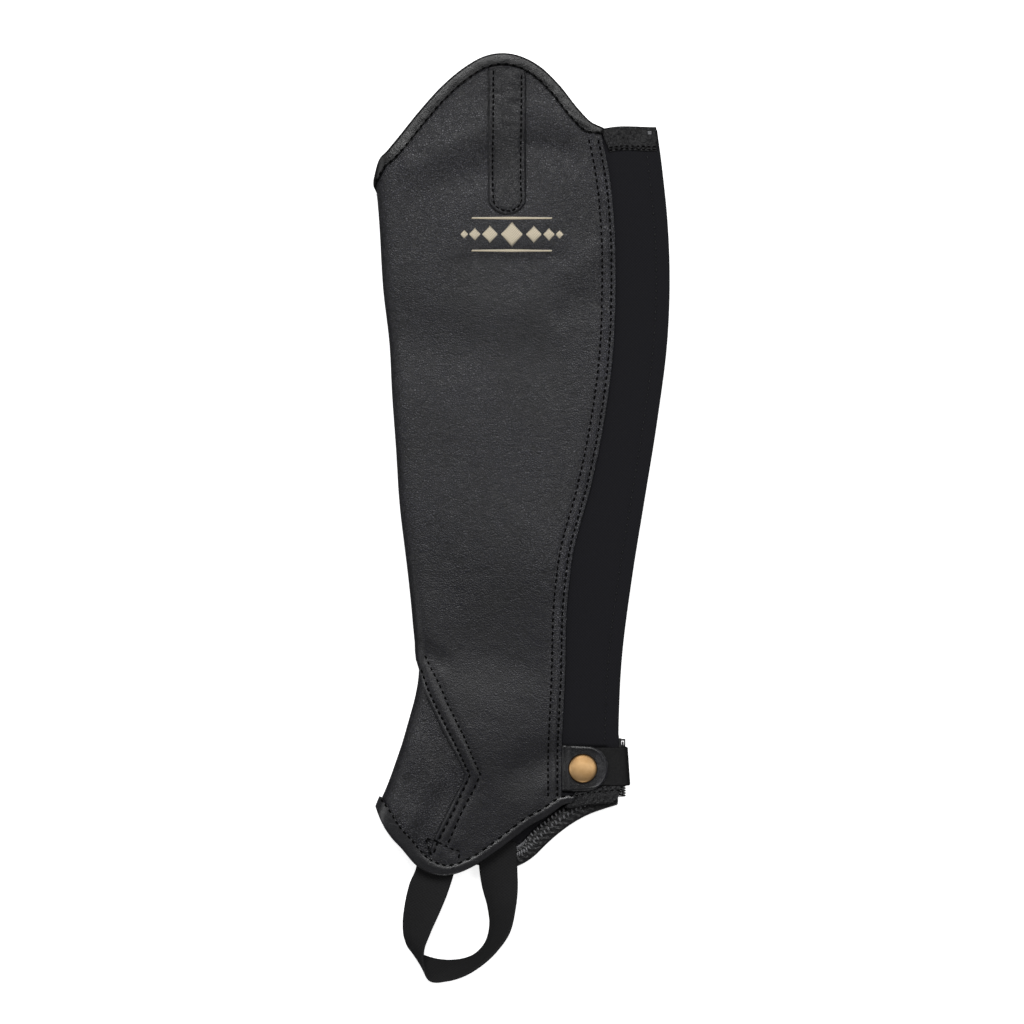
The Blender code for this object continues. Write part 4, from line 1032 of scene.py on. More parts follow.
@dataclass
class Sheet:
    """A cloth as its two faces of points; its rim is rounded when it is built."""

    outer: Array
    inner: Array
    faces: Array
    cut: Array
    # Each point's looseness of grain, with the painted light that goes with it
    grain_and_light: Array | None = None

    @classmethod
    def of_grid(cls, form: LegForm, grid: Array, depth: Any, thickness: Any) -> "Sheet":
        """A cloth on a grid in (reach, y); depth and thickness are one number or one for each point."""
        skins = (form.at(*np.moveaxis(grid, -1, 0), d).reshape(-1, 3) for d in (depth, depth + thickness))
        return cls(*skins, grid_faces(*grid.shape[:2]), grid.reshape(-1, 2))

    @classmethod
    def of_band(cls, middle: Array, thickness: float, share: float = 0.5) -> "Sheet":
        """A free band.

        Args:
            middle: Points (rows, columns, 3) in plan mm.
            thickness: Its thickness, mm.
            share: How much of the thickness stands on the side of the points' normal.

        Returns:
            The sheet.
        """
        normal = unit(np.cross(np.gradient(middle, axis=1), np.gradient(middle, axis=0)))
        x, y = (
            np.append(0.0, np.linalg.norm(np.diff(middle, axis=k), axis=-1).mean(axis=1 - k).cumsum())
            for k in (1, 0)
        )
        outer = middle + normal * thickness * share
        inner = middle - normal * thickness * (1.0 - share)
        cut = joined(x[None], y[:, None]).reshape(-1, 2)
        return cls(outer.reshape(-1, 3), inner.reshape(-1, 3), grid_faces(*middle.shape[:2]), cut)

    def declare(self, made: Piece, held: Held, rests_on: str, *with_pieces: Piece) -> Piece:
        """Reads the flat cut of the piece that was built of this sheet, and hands the piece back.

        Args:
            made: The piece.
            held: How it is held; not used.
            rests_on: The piece that it rests on; not used.
            with_pieces: The threads that move with it; not used.

        Returns:
            The piece.
        """
        x, y = self.cut[self.faces].transpose(2, 0, 1)
        return made

    def build(
        self, name: str, finishes: Sequence[Finish], slot: Slot, node: str, bulge: float = 0.3
    ) -> Piece:
        """Makes and dresses the closed shell.

        Args:
            name: The piece's name.
            finishes: Finish of the outer face, and of the inner face if it differs.
            slot: The record's material slot.
            node: The solid that it stands for.
            bulge: How far the rim stands out, as a share of the thickness.

        Returns:
            The piece.
        """
        count, sides = len(self.outer), self.faces.shape[1]
        ends = np.concatenate([self.faces[:, [k, (k + 1) % sides]] for k in range(sides)])
        _, first, uses = np.unique(np.sort(ends, axis=1), axis=0, return_index=True, return_counts=True)
        rim = ends[first[uses == 1]]
        on_rim = np.unique(rim)
        # Each point of the rim moves away from its neighbours inside the cloth
        middle = (self.outer + self.inner) / 2.0
        inside = ~np.isin(np.arange(count), on_rim)
        pull, weight = np.zeros((count, 3)), np.zeros(count)
        for a, b in (ends.T, ends.T[::-1]):
            kept = inside[b]
            np.add.at(pull, a[kept], middle[b[kept]])
            np.add.at(weight, a[kept], 1.0)
        away = np.where(weight[:, None] > 0.0, middle - pull / np.maximum(weight, 1.0)[:, None], 0.0)
        thick = np.linalg.norm(self.outer - self.inner, axis=1)[:, None]
        between = (middle + unit(away) * thick * bulge)[on_rim]
        place = np.full(count, -1)
        place[on_rim] = 2 * count + np.arange(len(on_rim))
        a, b = rim.T
        faces = np.concatenate([
            self.faces,
            self.faces[:, ::-1] + count,
            joined(b, a, place[a], place[b]),
            joined(place[b], place[a], a + count, b + count),
        ])
        groups = np.zeros(len(faces))
        groups[len(self.faces) : 2 * len(self.faces)] = len(finishes) - 1
        flat = self.cut if self.grain_and_light is None else np.column_stack([self.cut, self.grain_and_light])
        cut = np.concatenate([flat, flat, flat[on_rim]])
        points = np.concatenate([self.outer, self.inner, between])
        return dress(mesh_object(name, points, faces, finishes, cut, groups), slot, node)


def tubes(paths: Array, ups: Array, radii: Array, sides: int = 6) -> tuple[Array, list, Array]:
    """Many equal tubes with closed ends.

    Args:
        paths: Middle lines (count, steps, 3), mm.
        ups: A direction away from the cloth for each tube (count, 3).
        radii: Radius at each step, mm.
        sides: Sides of each tube.

    Returns:
        Points, faces and the cut places (round, along) of the points.
    """
    count, steps = paths.shape[:2]
    tangents = unit(np.gradient(paths, axis=1))
    across = unit(np.cross(tangents, ups[:, None]))
    up = np.cross(across, tangents)
    turn = np.arange(sides) * math.tau / sides
    ring = np.cos(turn)[:, None] * across[:, :, None] + np.sin(turn)[:, None] * up[:, :, None]
    points = (paths[:, :, None] + radii[None, :, None, None] * ring).reshape(-1, 3)
    base = np.arange(count)[:, None, None] * steps * sides
    step = np.arange(steps - 1)[None, :, None] * sides
    j = np.arange(sides)[None, None]
    k = (j + 1) % sides
    quads = joined(
        base + step + j, base + step + sides + j, base + step + sides + k, base + step + k
    ).reshape(-1, 4)
    starts = (base[:, 0] + np.arange(sides)).tolist()
    ends = (base[:, 0] + (steps - 1) * sides + np.arange(sides)[::-1]).tolist()
    runs = np.cumsum(np.linalg.norm(np.diff(paths, axis=1, prepend=paths[:, :1]), axis=-1), axis=1)
    cut = joined(turn * radii.max(), runs[:, :, None]).reshape(-1, 2)
    return points, quads.tolist() + starts + ends, cut


def swept(sections: Array, cut: Array) -> tuple[Array, list, Array]:
    """A closed band through equal rings, with both ends filled.

    Args:
        sections: Rings of points (rings, corners, 3).
        cut: Cut place of each point (rings, corners, 2).

    Returns:
        Points, faces and cut places.
    """
    count, size = sections.shape[:2]
    i = np.arange(count - 1)[:, None] * size
    j = np.arange(size)[None]
    k = (j + 1) % size
    quads = joined(i + j, i + k, i + size + k, i + size + j)
    caps = [list(range(size))[::-1], list(range((count - 1) * size, count * size))]
    return sections.reshape(-1, 3), quads.reshape(-1, 4).tolist() + caps, cut.reshape(-1, 2)


# Sewing


@dataclass(frozen=True)
class StitchRow:
    """One row of lock stitches on a line in (reach, y); faces is -1 where it is seen from inside."""

    line: Array
    depth: float = 0.12
    pitch: float = 3.5
    length: float = 2.2
    faces: float = 1.0

    def off_the_fold(self, clear: float = 3.2) -> list["StitchRow"]:
        """The row's parts on the two walls: a stitch on the fold would break the outline."""
        parts = (self.line[wall * self.line[:, 0] > clear] for wall in (1.0, -1.0))
        return [replace(self, line=part) for part in parts if len(part) > 2]


@dataclass(frozen=True)
class Sewing:
    """Rows of stitches: arched threads that dip into their holes."""

    form: LegForm
    radius: float = 0.44
    dip: float = 0.6
    rise: float = 0.1
    steps: int = 6

    def paths(self, row: StitchRow) -> tuple[Array, Array]:
        """Middle lines of a row's threads and the direction away from the cloth.

        Args:
            row: The row.

        Returns:
            Middle lines (count, steps, 3) and directions (count, 3).
        """
        lengths = lengths_along(row.line)
        count = max(1, int(lengths[-1] / row.pitch))
        starts = (np.arange(count) + 0.5) * lengths[-1] / count
        share = np.linspace(-0.5, 0.5, self.steps)
        wanted = starts[:, None] + share[None] * row.length
        reach, y = (np.interp(wanted, lengths, row.line[:, k]) for k in (0, 1))
        arch = self.dip * np.abs(share * 2.0) ** 4 - self.rise
        points = self.form.at(reach, y, row.depth + row.faces * arch[None])
        middle = self.steps // 2
        return points, row.faces * self.form.out(reach[:, middle], y[:, middle])

    def build(self, name: str, rows: Sequence[StitchRow], finish: Finish = SEWING_THREAD) -> Piece:
        """Makes one object of several rows.

        Args:
            name: The piece's name.
            rows: The rows.
            finish: The thread.

        Returns:
            The object.
        """
        paths, ups = (np.concatenate(parts) for parts in zip(*(self.paths(row) for row in rows)))
        # The thread thins to a third where it enters its holes
        radii = self.radius * np.sqrt(1.0 - np.linspace(-0.93, 0.93, self.steps) ** 4)
        points, faces, cut = tubes(paths, ups, radii)
        return dress(mesh_object(name, points, faces, [finish], cut))


@dataclass(frozen=True)
class SeamPlan:
    """Where the leather is sewn: each row as a line in (reach, y)."""

    form: LegForm
    back_insets: tuple[float, float] = (2.2, 7.1)
    zip_inset: float = 7.4
    near_rows: tuple[Table, ...] = (
        (
            (-53.5, -79.5), (-48, -93.3), (-43.2, -103.1), (-38.5, -112.4), (-33.4, -122.4),
            (-29.7, -130.4), (-27, -135.9), (-29.9, -142.6), (-36, -155.8), (-43.5, -170), (-46.3, -177.5),
        ),
        (
            (-51.5, -72), (-46.9, -80.6), (-42.4, -89.6), (-38.5, -98.8), (-34.2, -107.6), (-30.4, -115),
            (-25.7, -126.1), (-21.5, -135.5), (-24.9, -143.6), (-31.5, -155.8), (-38.7, -172.3),
        ),
    )
    box: Table = (
        (-47.2, -178.6), (-50.4, -169.4), (-46.6, -169.8), (-40.6, -172.9), (-35.6, -175.3),
        (-32.2, -176.2), (-33.2, -180.6),
    )
    strip_rows_x: tuple[float, float] = (-14.6, 0.2)
    strip_foot_y: float = 162.2
    strip_top_y: float = 237.0
    # The foot's turn is flatter than a half circle
    strip_flat: float = 0.85

    def back(self) -> list[Array]:
        """The two rows beside the leather's back edge."""
        form = self.form
        return [form.upright(form.leather_back, -148.0, 201.0, Side.NEAR, i) for i in self.back_insets]

    def instep(self, side: Side) -> list[Array]:
        """The two rows of the pointed seam and the strap's box, on one wall.

        Args:
            side: The wall.

        Returns:
            The lines in (reach, y).
        """
        notch, share = self.form.notch_y, self.form.seam_share(side)
        return [
            self.form.line(tuple((x, notch + (y - notch) * share) for x, y in rows), side)
            for rows in (*self.near_rows, self.box)
        ]

    def far_zip(self) -> Array:
        """The row that holds the zip tape to the far wall."""
        return self.form.upright(self.form.back, -110.0, 194.0, Side.FAR, self.zip_inset)

    def strip(self) -> Array:
        """Down one side of the calf strip, round its foot and up again.

        Returns:
            The line in (reach, y).
        """
        left, right = self.strip_rows_x
        middle, half = (left + right) / 2.0, (right - left) / 2.0
        turn = np.linspace(0.0, math.pi, 19)
        drop = self.strip_flat * half
        x = np.concatenate([[left], middle - half * np.cos(turn), [right]])
        y = self.strip_foot_y + drop - drop * np.sin(turn)
        y = np.concatenate([[self.strip_top_y], y, [self.strip_top_y - 2.5]])
        return self.form.places(x, y, Side.NEAR)


# Sub-assemblies

# Distances from an edge at which a grid has its points, mm: where it is sewn, a plain rim, and the
# far wall beside the zip
FINE = (0.0, 0.3, 0.7, 1.2, 1.8, 2.4, 3.1, 3.9, 4.8, 5.7, 6.6, 7.5, 8.5, 9.8, 11.5, 13.6)
RIM = (0.0, 0.3, 0.9)
FAR_END = (*RIM, 2.2, 3.8, 5.2, 6.4, 7.4, 8.4, 9.6, 11.5)


@dataclass(frozen=True)
class LeatherBody:
    """The main panel, the instep piece and the calf strip."""

    form: LegForm
    seams: SeamPlan
    # Grid: width and step on each wall, and rows below and above the notch
    near_span: tuple[float, float] = (112.0, 2.5)
    far_span: tuple[float, float] = (138.0, 3.0)
    notch_rows: int = 44
    upper_rows: int = 118
    # Sewing draws a trough, and the leather swells beside it
    trough: float = 0.5
    trough_width: float = 0.95
    pillow: float = 0.22
    pillow_width: float = 1.5
    lap: float = 10.0
    instep_depth: float = 2.15
    instep_top: float = -66.0
    # The instep's looseness, which also lays on some painted light
    instep_grain_and_light: float = 0.25
    strip_x: tuple[float, float] = (-17.5, 2.7)
    strip_foot_y: float = 160.4
    strip_from_edge: float = 5.7
    strip_length: float = 80.0

    def back_edge(self) -> Array:
        """The leather's back edge."""
        return self.form.upright(self.form.leather_back, -151.0, 206.0, Side.NEAR)

    def half(self, side: Side) -> Array:
        """Grid of one wall of the main panel.

        Args:
            side: The wall.

        Returns:
            Points (rows, columns, 2) in (reach, y).
        """
        form = self.form
        near = side is Side.NEAR
        bottom = form.edge(form.near_bottom if near else form.far_bottom, side)
        top = form.edge(form.near_top if near else form.far_top, side)
        table, inset = (form.leather_back, 0.0) if near else (form.back, 0.5)
        outer = form.upright(table, bottom[-1, 1], top[-1, 1], side, inset)
        fold = np.linspace((0.0, form.notch_y), (0.0, top[0, 1]), form.samples)
        meet = np.array([[np.interp(form.notch_y, outer[:, 1], outer[:, 0]), form.notch_y]])
        lower = np.concatenate([outer[outer[:, 1] <= form.notch_y], meet])
        upper = np.concatenate([meet, outer[outer[:, 1] >= form.notch_y]])
        below = np.append([0.0, 0.003], np.linspace(0.02, 1.0, self.notch_rows))
        above = np.append(np.linspace(0.0, 0.985, self.upper_rows), [0.999, 1.0])
        left, right = (
            np.concatenate([by_share(low, 1, below), by_share(high, 1, above)[1:]])
            for low, high in ((form.seam(side), fold), (lower, upper))
        )
        bottom = part_of(bottom, left[0, 0], right[0, 0])
        top = part_of(top, left[-1, 0], right[-1, 0])
        width, step = self.near_span if near else self.far_span
        return filled(left, right, bottom, top, graded(width, FINE, FINE if near else FAR_END, step))

    def depth(self, places: Array, side: Side) -> Array:
        """Depth of the leather's outer face: sewn troughs, pillows between and rounded edges.

        Args:
            places: Points (n, 2) in (reach, y).
            side: The wall.

        Returns:
            Depths, mm; the far wall has no pillows, as it lies on the floor.
        """
        near = side is Side.NEAR
        rows = self.seams.instep(side)
        rows += [*self.seams.back(), self.seams.strip()] if near else [self.seams.far_zip()]
        trough = self.trough * (1.0 if near else 0.75)
        # Each cut edge, where its pillow stands, and how far and how soon its rim drops
        edges = [(self.form.seam(side), 4.8, 0.3, 0.55)]
        edges += [(self.back_edge(), 4.6, 0.35, 0.6)] if near else []
        found = np.zeros(len(places))
        for line in rows:
            found += trough * bump(distance_to(places, line), 0.0, self.trough_width)
        for line, swell, drop, width in edges:
            apart = distance_to(places, line)
            found -= self.pillow * bump(apart, swell, self.pillow_width)
            found += drop * bump(apart, 0.0, width)
        return found if near else np.maximum(found, 0.0)

    def grain_and_light_at(self, places: Array) -> Array:
        """How much rougher the hide's grain is than usual, and how much painted light makes its colour
        paler.

        Args:
            places: Points (n, 2) in (reach, y).

        Returns:
            The looseness and painted light of each.
        """
        reach, y = places.T
        firm = 0.6 * ease((-12.0 - y) / 50.0)
        # Painted light across the middle of the panel
        painted_light = 0.35 * ease((y + 30.0) / 40.0) * ease((105.0 - y) / 50.0) * ease((105.0 - reach) / 45.0)
        grain_and_light = 0.42 * ease((y - 90.0) / 90.0) + 0.18 + painted_light - firm
        # Painted highlight, with a looser grain, on the bead between the back edge and its rows
        back = distance_to(places, self.back_edge())
        return grain_and_light + (1.2 - grain_and_light) * bump(back, 3.4, 3.6) * ease((y + 150.0) / 120.0)

    def main_panel(self) -> Sheet:
        """The leather in one piece, both walls joined along the fold above the notch.

        Returns:
            The sheet.
        """
        places, depths, faces = [], [], []
        shared = np.zeros(0, int)
        for side in Side:
            grid = self.half(side)
            rows, columns = grid.shape[:2]
            flat = grid.reshape(-1, 2)
            numbers = np.arange(len(flat)) + sum(len(p) for p in places)
            # The walls share the points of their first column above the notch
            fold = slice((self.notch_rows + 1) * columns, None, columns)
            if side is Side.NEAR:
                shared = numbers[fold]
            else:
                numbers[fold] = shared
            quads = numbers[grid_faces(rows, columns)]
            faces.append(quads if side is Side.NEAR else quads[:, ::-1])
            places.append(flat)
            depths.append(self.depth(flat, side))
        used, quads = np.unique(np.concatenate(faces), return_inverse=True)
        places, depth = np.concatenate(places)[used], np.concatenate(depths)[used]
        outer = self.form.at(places[:, 0], places[:, 1], depth)
        inner = self.form.at(places[:, 0], places[:, 1], LEATHER + np.minimum(depth, 0.15))
        return Sheet(outer, inner, quads.reshape(-1, 4), places, self.grain_and_light_at(places))

    def instep_piece(self) -> Sheet:
        """The leather over the instep, under the main panel along the pointed seam.

        Returns:
            The sheet.
        """
        form = self.form
        rows = np.append([0.0, 0.004], np.linspace(0.02, 1.0, 44))
        sides, edges = [], []
        for side, table in ((Side.FAR, form.far_bottom), (Side.NEAR, form.near_bottom)):
            edge = form.edge(table, side)
            moved = form.seam(side) + (side.value * self.lap, 0.0)
            low = cut_height(edge, moved[0, 0])
            share = (moved[:, 1] - moved[0, 1]) / (moved[-1, 1] - moved[0, 1])
            moved[:, 1] = low + share * (self.instep_top - low)
            sides.append(by_share(moved, 1, rows))
            edges.append(edge)
        whole = np.concatenate([edges[0][::-1], edges[1][1:]])
        bottom = part_of(whole, sides[0][0, 0], sides[1][0, 0])
        top = np.linspace(sides[0][-1], sides[1][-1], form.samples)
        grid = filled(*sides, bottom, top, np.linspace(0.0, 1.0, 66))
        flat = grid.reshape(-1, 2)
        # Under the main panel the piece is deep, between the seams it rises level with it
        near, far = form.seam(Side.NEAR), form.seam(Side.FAR)
        apart = np.minimum(distance_to(flat, near), distance_to(flat, far))
        low, high = (np.interp(flat[:, 1], seam[:, 1], seam[:, 0]) for seam in (far, near))
        shown = (low < flat[:, 0]) & (flat[:, 0] < high) & (flat[:, 1] < form.notch_y)
        depth = self.instep_depth * (1.0 - ease((np.where(shown, apart, 0.0) - 5.0) / 14.0))
        sheet = Sheet.of_grid(form, grid, depth.reshape(grid.shape[:2]), LEATHER)
        sheet.grain_and_light = np.full(len(sheet.cut), self.instep_grain_and_light)
        return sheet

    def calf_strip(self) -> Sheet:
        """The strip from the peak down the calf: raised border, sunk rows, cross creases near the top.

        Returns:
            The sheet.
        """
        form = self.form
        middle, half = sum(self.strip_x) / 2.0, (self.strip_x[1] - self.strip_x[0]) / 2.0
        columns = 2.0 * graded(2 * half, FINE[:9], FINE[:9], 0.7) - 1.0
        foot = self.strip_foot_y + half * (1.0 - np.sqrt(1.0 - 0.94 * columns**2))
        x = middle + half * columns
        top = read(form.near_top, x) - self.strip_from_edge
        shares = graded(self.strip_length, FINE[:6], RIM, 0.9)[:, None]
        y = foot * (1.0 - shares) + top * shares
        grid = form.places(x, y, Side.NEAR)
        flat = grid.reshape(-1, 2)
        depth = -GAP - 1.25 * STRIP + 0.5 * bump(distance_to(flat, self.seams.strip()), 0.0, 0.8)
        rim = np.minimum((1.0 - np.abs(columns)) * half, y - foot).ravel()
        depth = depth + 1.0 * bump(np.maximum(rim, 0.0), 0.0, 0.75)
        between_rows = np.abs(x - sum(self.seams.strip_rows_x) / 2.0) < 6.6
        between_rows = np.broadcast_to(between_rows, y.shape).ravel()
        creased = between_rows * ease((flat[:, 1] - 196.0) / 24.0)
        lines = waves(21, 7, 3.4, 6.5)(flat * (0.28, 1.0))
        depth = depth + 0.36 * creased * lines
        outer = form.at(grid[..., 0], grid[..., 1], depth.reshape(grid.shape[:2])).reshape(-1, 3)
        inner = form.at(grid[..., 0], grid[..., 1], -0.12).reshape(-1, 3)
        return Sheet(outer, inner, grid_faces(*grid.shape[:2]), flat)

    def build(self) -> list[Piece]:
        """Builds the three pieces and their rows of stitches.

        Returns:
            The pieces.
        """
        seams = self.seams
        lines = [*seams.back(), *seams.instep(Side.NEAR), *seams.instep(Side.FAR), seams.far_zip()]
        seam_thread = Sewing(self.form, radius=0.5).build(
            "leather_seam_stitches", [StitchRow(line, self.trough - 0.1) for line in lines]
        )
        strip_thread = Sewing(self.form, radius=0.42).build(
            "calf_strip_stitches", [StitchRow(seams.strip(), -GAP - 1.25 * STRIP + 0.4, 3.1, 2.4)]
        )
        both = [COWHIDE, FLESH_SIDE]
        made = [seam_thread, strip_thread]
        for sheet, name, finishes, node, rests_on, threads in (
            (self.main_panel(), PANEL, both, "main_panel", "inner_hem_tape_band", [seam_thread]),
            (self.instep_piece(), "instep_leather", both, "instep_piece", PANEL, []),
            (self.calf_strip(), "calf_strip_leather", [CREASED_HIDE], "calf_strip", PANEL, [strip_thread]),
        ):
            piece = sheet.build(name, finishes, Slot.LEATHER, node)
            made.append(sheet.declare(piece, Held.LAID, rests_on, *threads))
        return made


@dataclass(frozen=True)
class FoldedStrip:
    """A strip folded round a cut edge and sewn down; turn is 1 with the cloth left of the line, or -1."""

    form: LegForm
    name: str
    line: Array
    turn: float
    outer_leg: float
    inner_leg: float
    finish: Finish
    slot: Slot
    node: str
    # Depths of the cloth's two faces at a reach
    layers: Callable[[Array], tuple[Any, Any]]
    narrow_start: bool = False
    # The outer leg's width at the strip's start and at the shin fold, as shares, and over what run
    start_share: float = 1.0
    start_run: float = 9.0
    fold_share: float = 1.0
    fold_run: float = 13.0
    spacing: float = 1.5
    pucker: float = 0.16
    seed: int = 5
    # Heights over the cloth: where it is sewn down, its crown and the lip of its cut edge
    pressed: float = 0.14
    crown: float = 0.12
    lip: float = 0.0
    # Over how much of the outer leg it rises from where it is sewn down
    rise_run: float = 2.2
    # The strip's first stretch is drawn rounder than the rest: added crown and where it fades, mm
    round_start: float = 0.0
    round_to: float = 80.0
    round_fade: float = 25.0

    def way(self, spacing: float) -> tuple[Array, Array, Array, Array]:
        """Points along the edge, their tangents, their directions into the cloth and their lengths."""
        points, tangents, length = resampled(self.line, spacing)
        return points, tangents, self.turn * joined(-tangents[:, 1], tangents[:, 0]), length

    def leg_share(self, length: Array) -> Array:
        """How much of the outer leg's width is left at each length, less at the start and the fold.

        Args:
            length: Length along the strip, mm.

        Returns:
            The share.
        """
        share = self.start_share + (1.0 - self.start_share) * ease(length / self.start_run)
        points, _, _, run = self.way(self.spacing)
        fold = run[np.argmin(np.abs(points[:, 0]))]
        return share * (1.0 - (1.0 - self.fold_share) * bump(length, fold, self.fold_run))

    def ramp(self, press: float, thick: float, share: Any) -> Any:
        """Rises from its pressed height to its full one, at a share of the way to the edge."""
        return press + (thick - press) * ease(share * self.outer_leg / self.rise_run)

    def height(self, share: Any) -> Any:
        """How far the outer leg stands above the cloth.

        Args:
            share: Share of the way from its end to the edge.

        Returns:
            The height, mm.
        """
        lift = self.ramp(self.pressed + 0.5 * STRIP, FOLD_GAP + STRIP, share)
        lift = lift + self.lip * bump(share * self.outer_leg, 0.5, 0.45)
        return lift + self.crown * np.sin(math.pi * share**0.8)

    def profile(self, length: Array, points: Array) -> tuple[Array, Array]:
        """The strip's outline across the edge at every section.

        Args:
            length: Length along the strip of each section, mm.
            points: Its point on the edge in (reach, y).

        Returns:
            Distance from the edge into the cloth and depth, each (sections, corners).
        """
        top, bottom = (np.broadcast_to(v, length.shape)[:, None] for v in self.layers(points[:, 0]))
        middle, half = (top + bottom) / 2.0, (bottom - top) / 2.0
        narrow = 0.1 + 0.9 * ease(length / 18.0) if self.narrow_start else np.ones(len(length))
        legs = np.array([0.0, 0.03, 0.09, 0.18, 0.3, 0.45, 0.65, 0.85, 1.0])[None]
        outwards = self.outer_leg * self.leg_share(length)[:, None] * (1.0 - legs)
        inwards = self.inner_leg * narrow[:, None] * (1.0 - legs[:, ::-1])
        beyond, up = half_turn(11, 0.85)
        # The outer skin is rounder and puckered, the inner one lies smooth against the cloth
        rounder = self.round_start * (1.0 - ease((length - self.round_to) / self.round_fade))[:, None]
        lift = self.height(legs) + rounder * np.sin(math.pi * legs) ** 2
        fade = np.sin(math.pi * np.clip(legs, 0.04, 0.96)) * self.pucker
        fade = fade * (1.0 + 2.0 * bump(length, 24.0, 20.0) * (self.start_share < 1.0))[:, None]
        places = joined(length[:, None], outwards)
        puckers = fade * waves(self.seed, 10, 2.6, 7.5)(places)
        across, depth = [], []
        for press, thick, face in (
            (self.pressed + 0.5 * STRIP, FOLD_GAP + STRIP, top - lift + puckers),
            (0.04, FOLD_GAP, top - self.ramp(0.04, FOLD_GAP, legs)),
        ):
            under = bottom + self.ramp(press, thick, legs[:, ::-1])
            edge = np.broadcast_to(-thick * beyond, (len(length), len(beyond)))
            across.append(np.concatenate([outwards, edge, inwards], axis=1))
            depth.append(np.concatenate([face, middle - (half + thick) * up, under], axis=1))
        across, depth = (np.concatenate([a, b[:, ::-1]], axis=1) for a, b in (across, depth))
        return across, depth

    def ribs(self, first: float, last: float, pitch: float, depth: float) -> list[StitchRow]:
        """Close stitches across the inner leg, each one a row of its own.

        Args:
            first: Distance from the cut edge to the near end of each stitch, mm.
            last: The same to its far end.
            pitch: Distance between stitches, mm.
            depth: Depth of the inner leg's surface, mm.

        Returns:
            The rows.
        """
        points, tangents, inward, _ = self.way(pitch)
        ends = np.stack([points + first * inward, points + last * inward + 0.5 * tangents], axis=1)
        return [StitchRow(line, depth, last - first, last - first, -1.0) for line in ends]

    def build(self) -> Piece:
        """Makes the strip, with each point's place on its flat cut.

        Returns:
            The piece.
        """
        points, _, inward, length = self.way(self.spacing)
        across, depth = self.profile(length, points)
        reach, y = (points[:, k : k + 1] + across * inward[:, k : k + 1] for k in (0, 1))
        sections = self.form.at(reach, y, depth)
        half = across.shape[1] // 2
        steps = np.hypot(np.diff(across[:, :half], axis=1), np.diff(depth[:, :half], axis=1))
        width = np.append(0.0, np.cumsum(np.median(steps, axis=0)))
        cut = joined(np.append(width, width[::-1])[None], length[:, None])
        corners, faces, flat = swept(sections, cut)
        if self.turn > 0.0:
            faces = [face[::-1] for face in faces]
        made = dress(mesh_object(self.name, corners, faces, [self.finish], flat), self.slot, self.node)
        return made

    def row(self, inset: float, pitch: float = 3.3, length: float = 2.2) -> StitchRow:
        """A row of stitches along the outer leg.

        Args:
            inset: Distance from the cut edge, mm.
            pitch: Distance between stitches, mm.
            length: Length of a stitch, mm.

        Returns:
            The row.
        """
        points, _, inward, run = self.way(self.spacing)
        line = points + inset * self.leg_share(run)[:, None] * inward
        top = float(np.max(self.layers(points[:, 0])[0]))
        return StitchRow(line, top - float(self.height(1.0 - inset / self.outer_leg)), pitch, length)


@dataclass(frozen=True)
class EdgeBindings:
    """The two leather bindings and the woven band on the inner side's lower edge."""

    form: LegForm
    # Where the far edge's foot passes from the binding to the woven band
    split: tuple[float, float] = (-20.0, -183.0)
    # The instep piece lies under the panel round the point of the foot: how deep and how far
    lap_depth: float = 2.15
    lap_reach: float = 15.0
    # Where the bindings' ends run on past the leather's corners, over the stretch panel's hems
    top_lead: Table = ((43.4, 205.2),)
    foot_lead: Table = ((28.0, -149.4), (24.6, -149.9))

    def single(self, reach: Array) -> tuple[Any, Any]:
        """Faces of one layer of leather."""
        return 0.0, LEATHER

    def lapped(self, reach: Array) -> tuple[Any, Any]:
        """Faces of the leather with the instep piece below it round the point of the foot.

        Args:
            reach: Length from the fold, mm.

        Returns:
            Their depths, mm.
        """
        low = self.form.seam(Side.FAR)[0, 0] - self.lap_reach
        high = self.form.seam(Side.NEAR)[0, 0] + self.lap_reach
        held = ease((reach - low + 4.0) / 4.0) * ease((high + 4.0 - reach) / 4.0)
        return 0.0, LEATHER + self.lap_depth * held

    def build(self) -> list[Piece]:
        """Builds the three strips and their stitches.

        Returns:
            The pieces.
        """
        form = self.form
        near_top, near_bottom = (form.edge(t, Side.NEAR)[::-1] for t in (form.near_top, form.near_bottom))
        far_top, far_bottom = (form.edge(t, Side.FAR) for t in (form.far_top, form.far_bottom))
        top = np.concatenate([form.line(self.top_lead, Side.NEAR), near_top, far_top[1:]])
        split = float(form.reach(*self.split, Side.FAR))
        far_part = part_of(far_bottom, 0.0, split)[1:]
        bottom = np.concatenate([form.line(self.foot_lead, Side.NEAR), near_bottom, far_part])
        rest = part_of(far_bottom, split - 1.5 * FOLD_GAP, far_bottom[-1, 0])
        strips = [
            FoldedStrip(
                form, "top_binding_strip", top, 1.0, 4.7, 5.5, BINDING_HIDE, Slot.BINDING, "top_binding",
                self.single, narrow_start=True, start_share=0.45, pucker=0.07, pressed=0.8, crown=0.15,
                lip=0.12, fold_share=0.5,
            ),
            FoldedStrip(
                form, "bottom_binding_strip", bottom, -1.0, 4.7, 5.5, PAINTED_LIGHT_BINDING_HIDE, Slot.BINDING,
                "bottom_binding", self.lapped, narrow_start=True, start_share=0.55, pucker=0.05, seed=6,
                pressed=1.02, crown=0.05, round_start=0.42,
            ),
            FoldedStrip(
                form, "inner_hem_tape_band", rest, -1.0, 6.0, 10.8, GLOSSY_TAPE, Slot.TAPE,
                "inner_hem_tape", self.single, seed=7,
            ),
        ]
        made = [strip.build() for strip in strips]
        rows = [strips[0].row(4.45, 4.1, 2.0), strips[1].row(4.45, 4.1, 2.4), strips[2].row(5.2)]
        rows = [part for row in rows for part in row.off_the_fold()]
        made.append(Sewing(form, radius=0.5).build("binding_stitches", rows))
        inside = LEATHER + FOLD_GAP + STRIP
        ribs = strips[2].ribs(8.6, 10.4, 1.7, inside) + strips[2].ribs(4.0, 6.8, 1.9, inside)
        made.append(Sewing(form, radius=0.5, dip=0.5).build("inner_hem_stitches", ribs, TACK_THREAD))
        return made


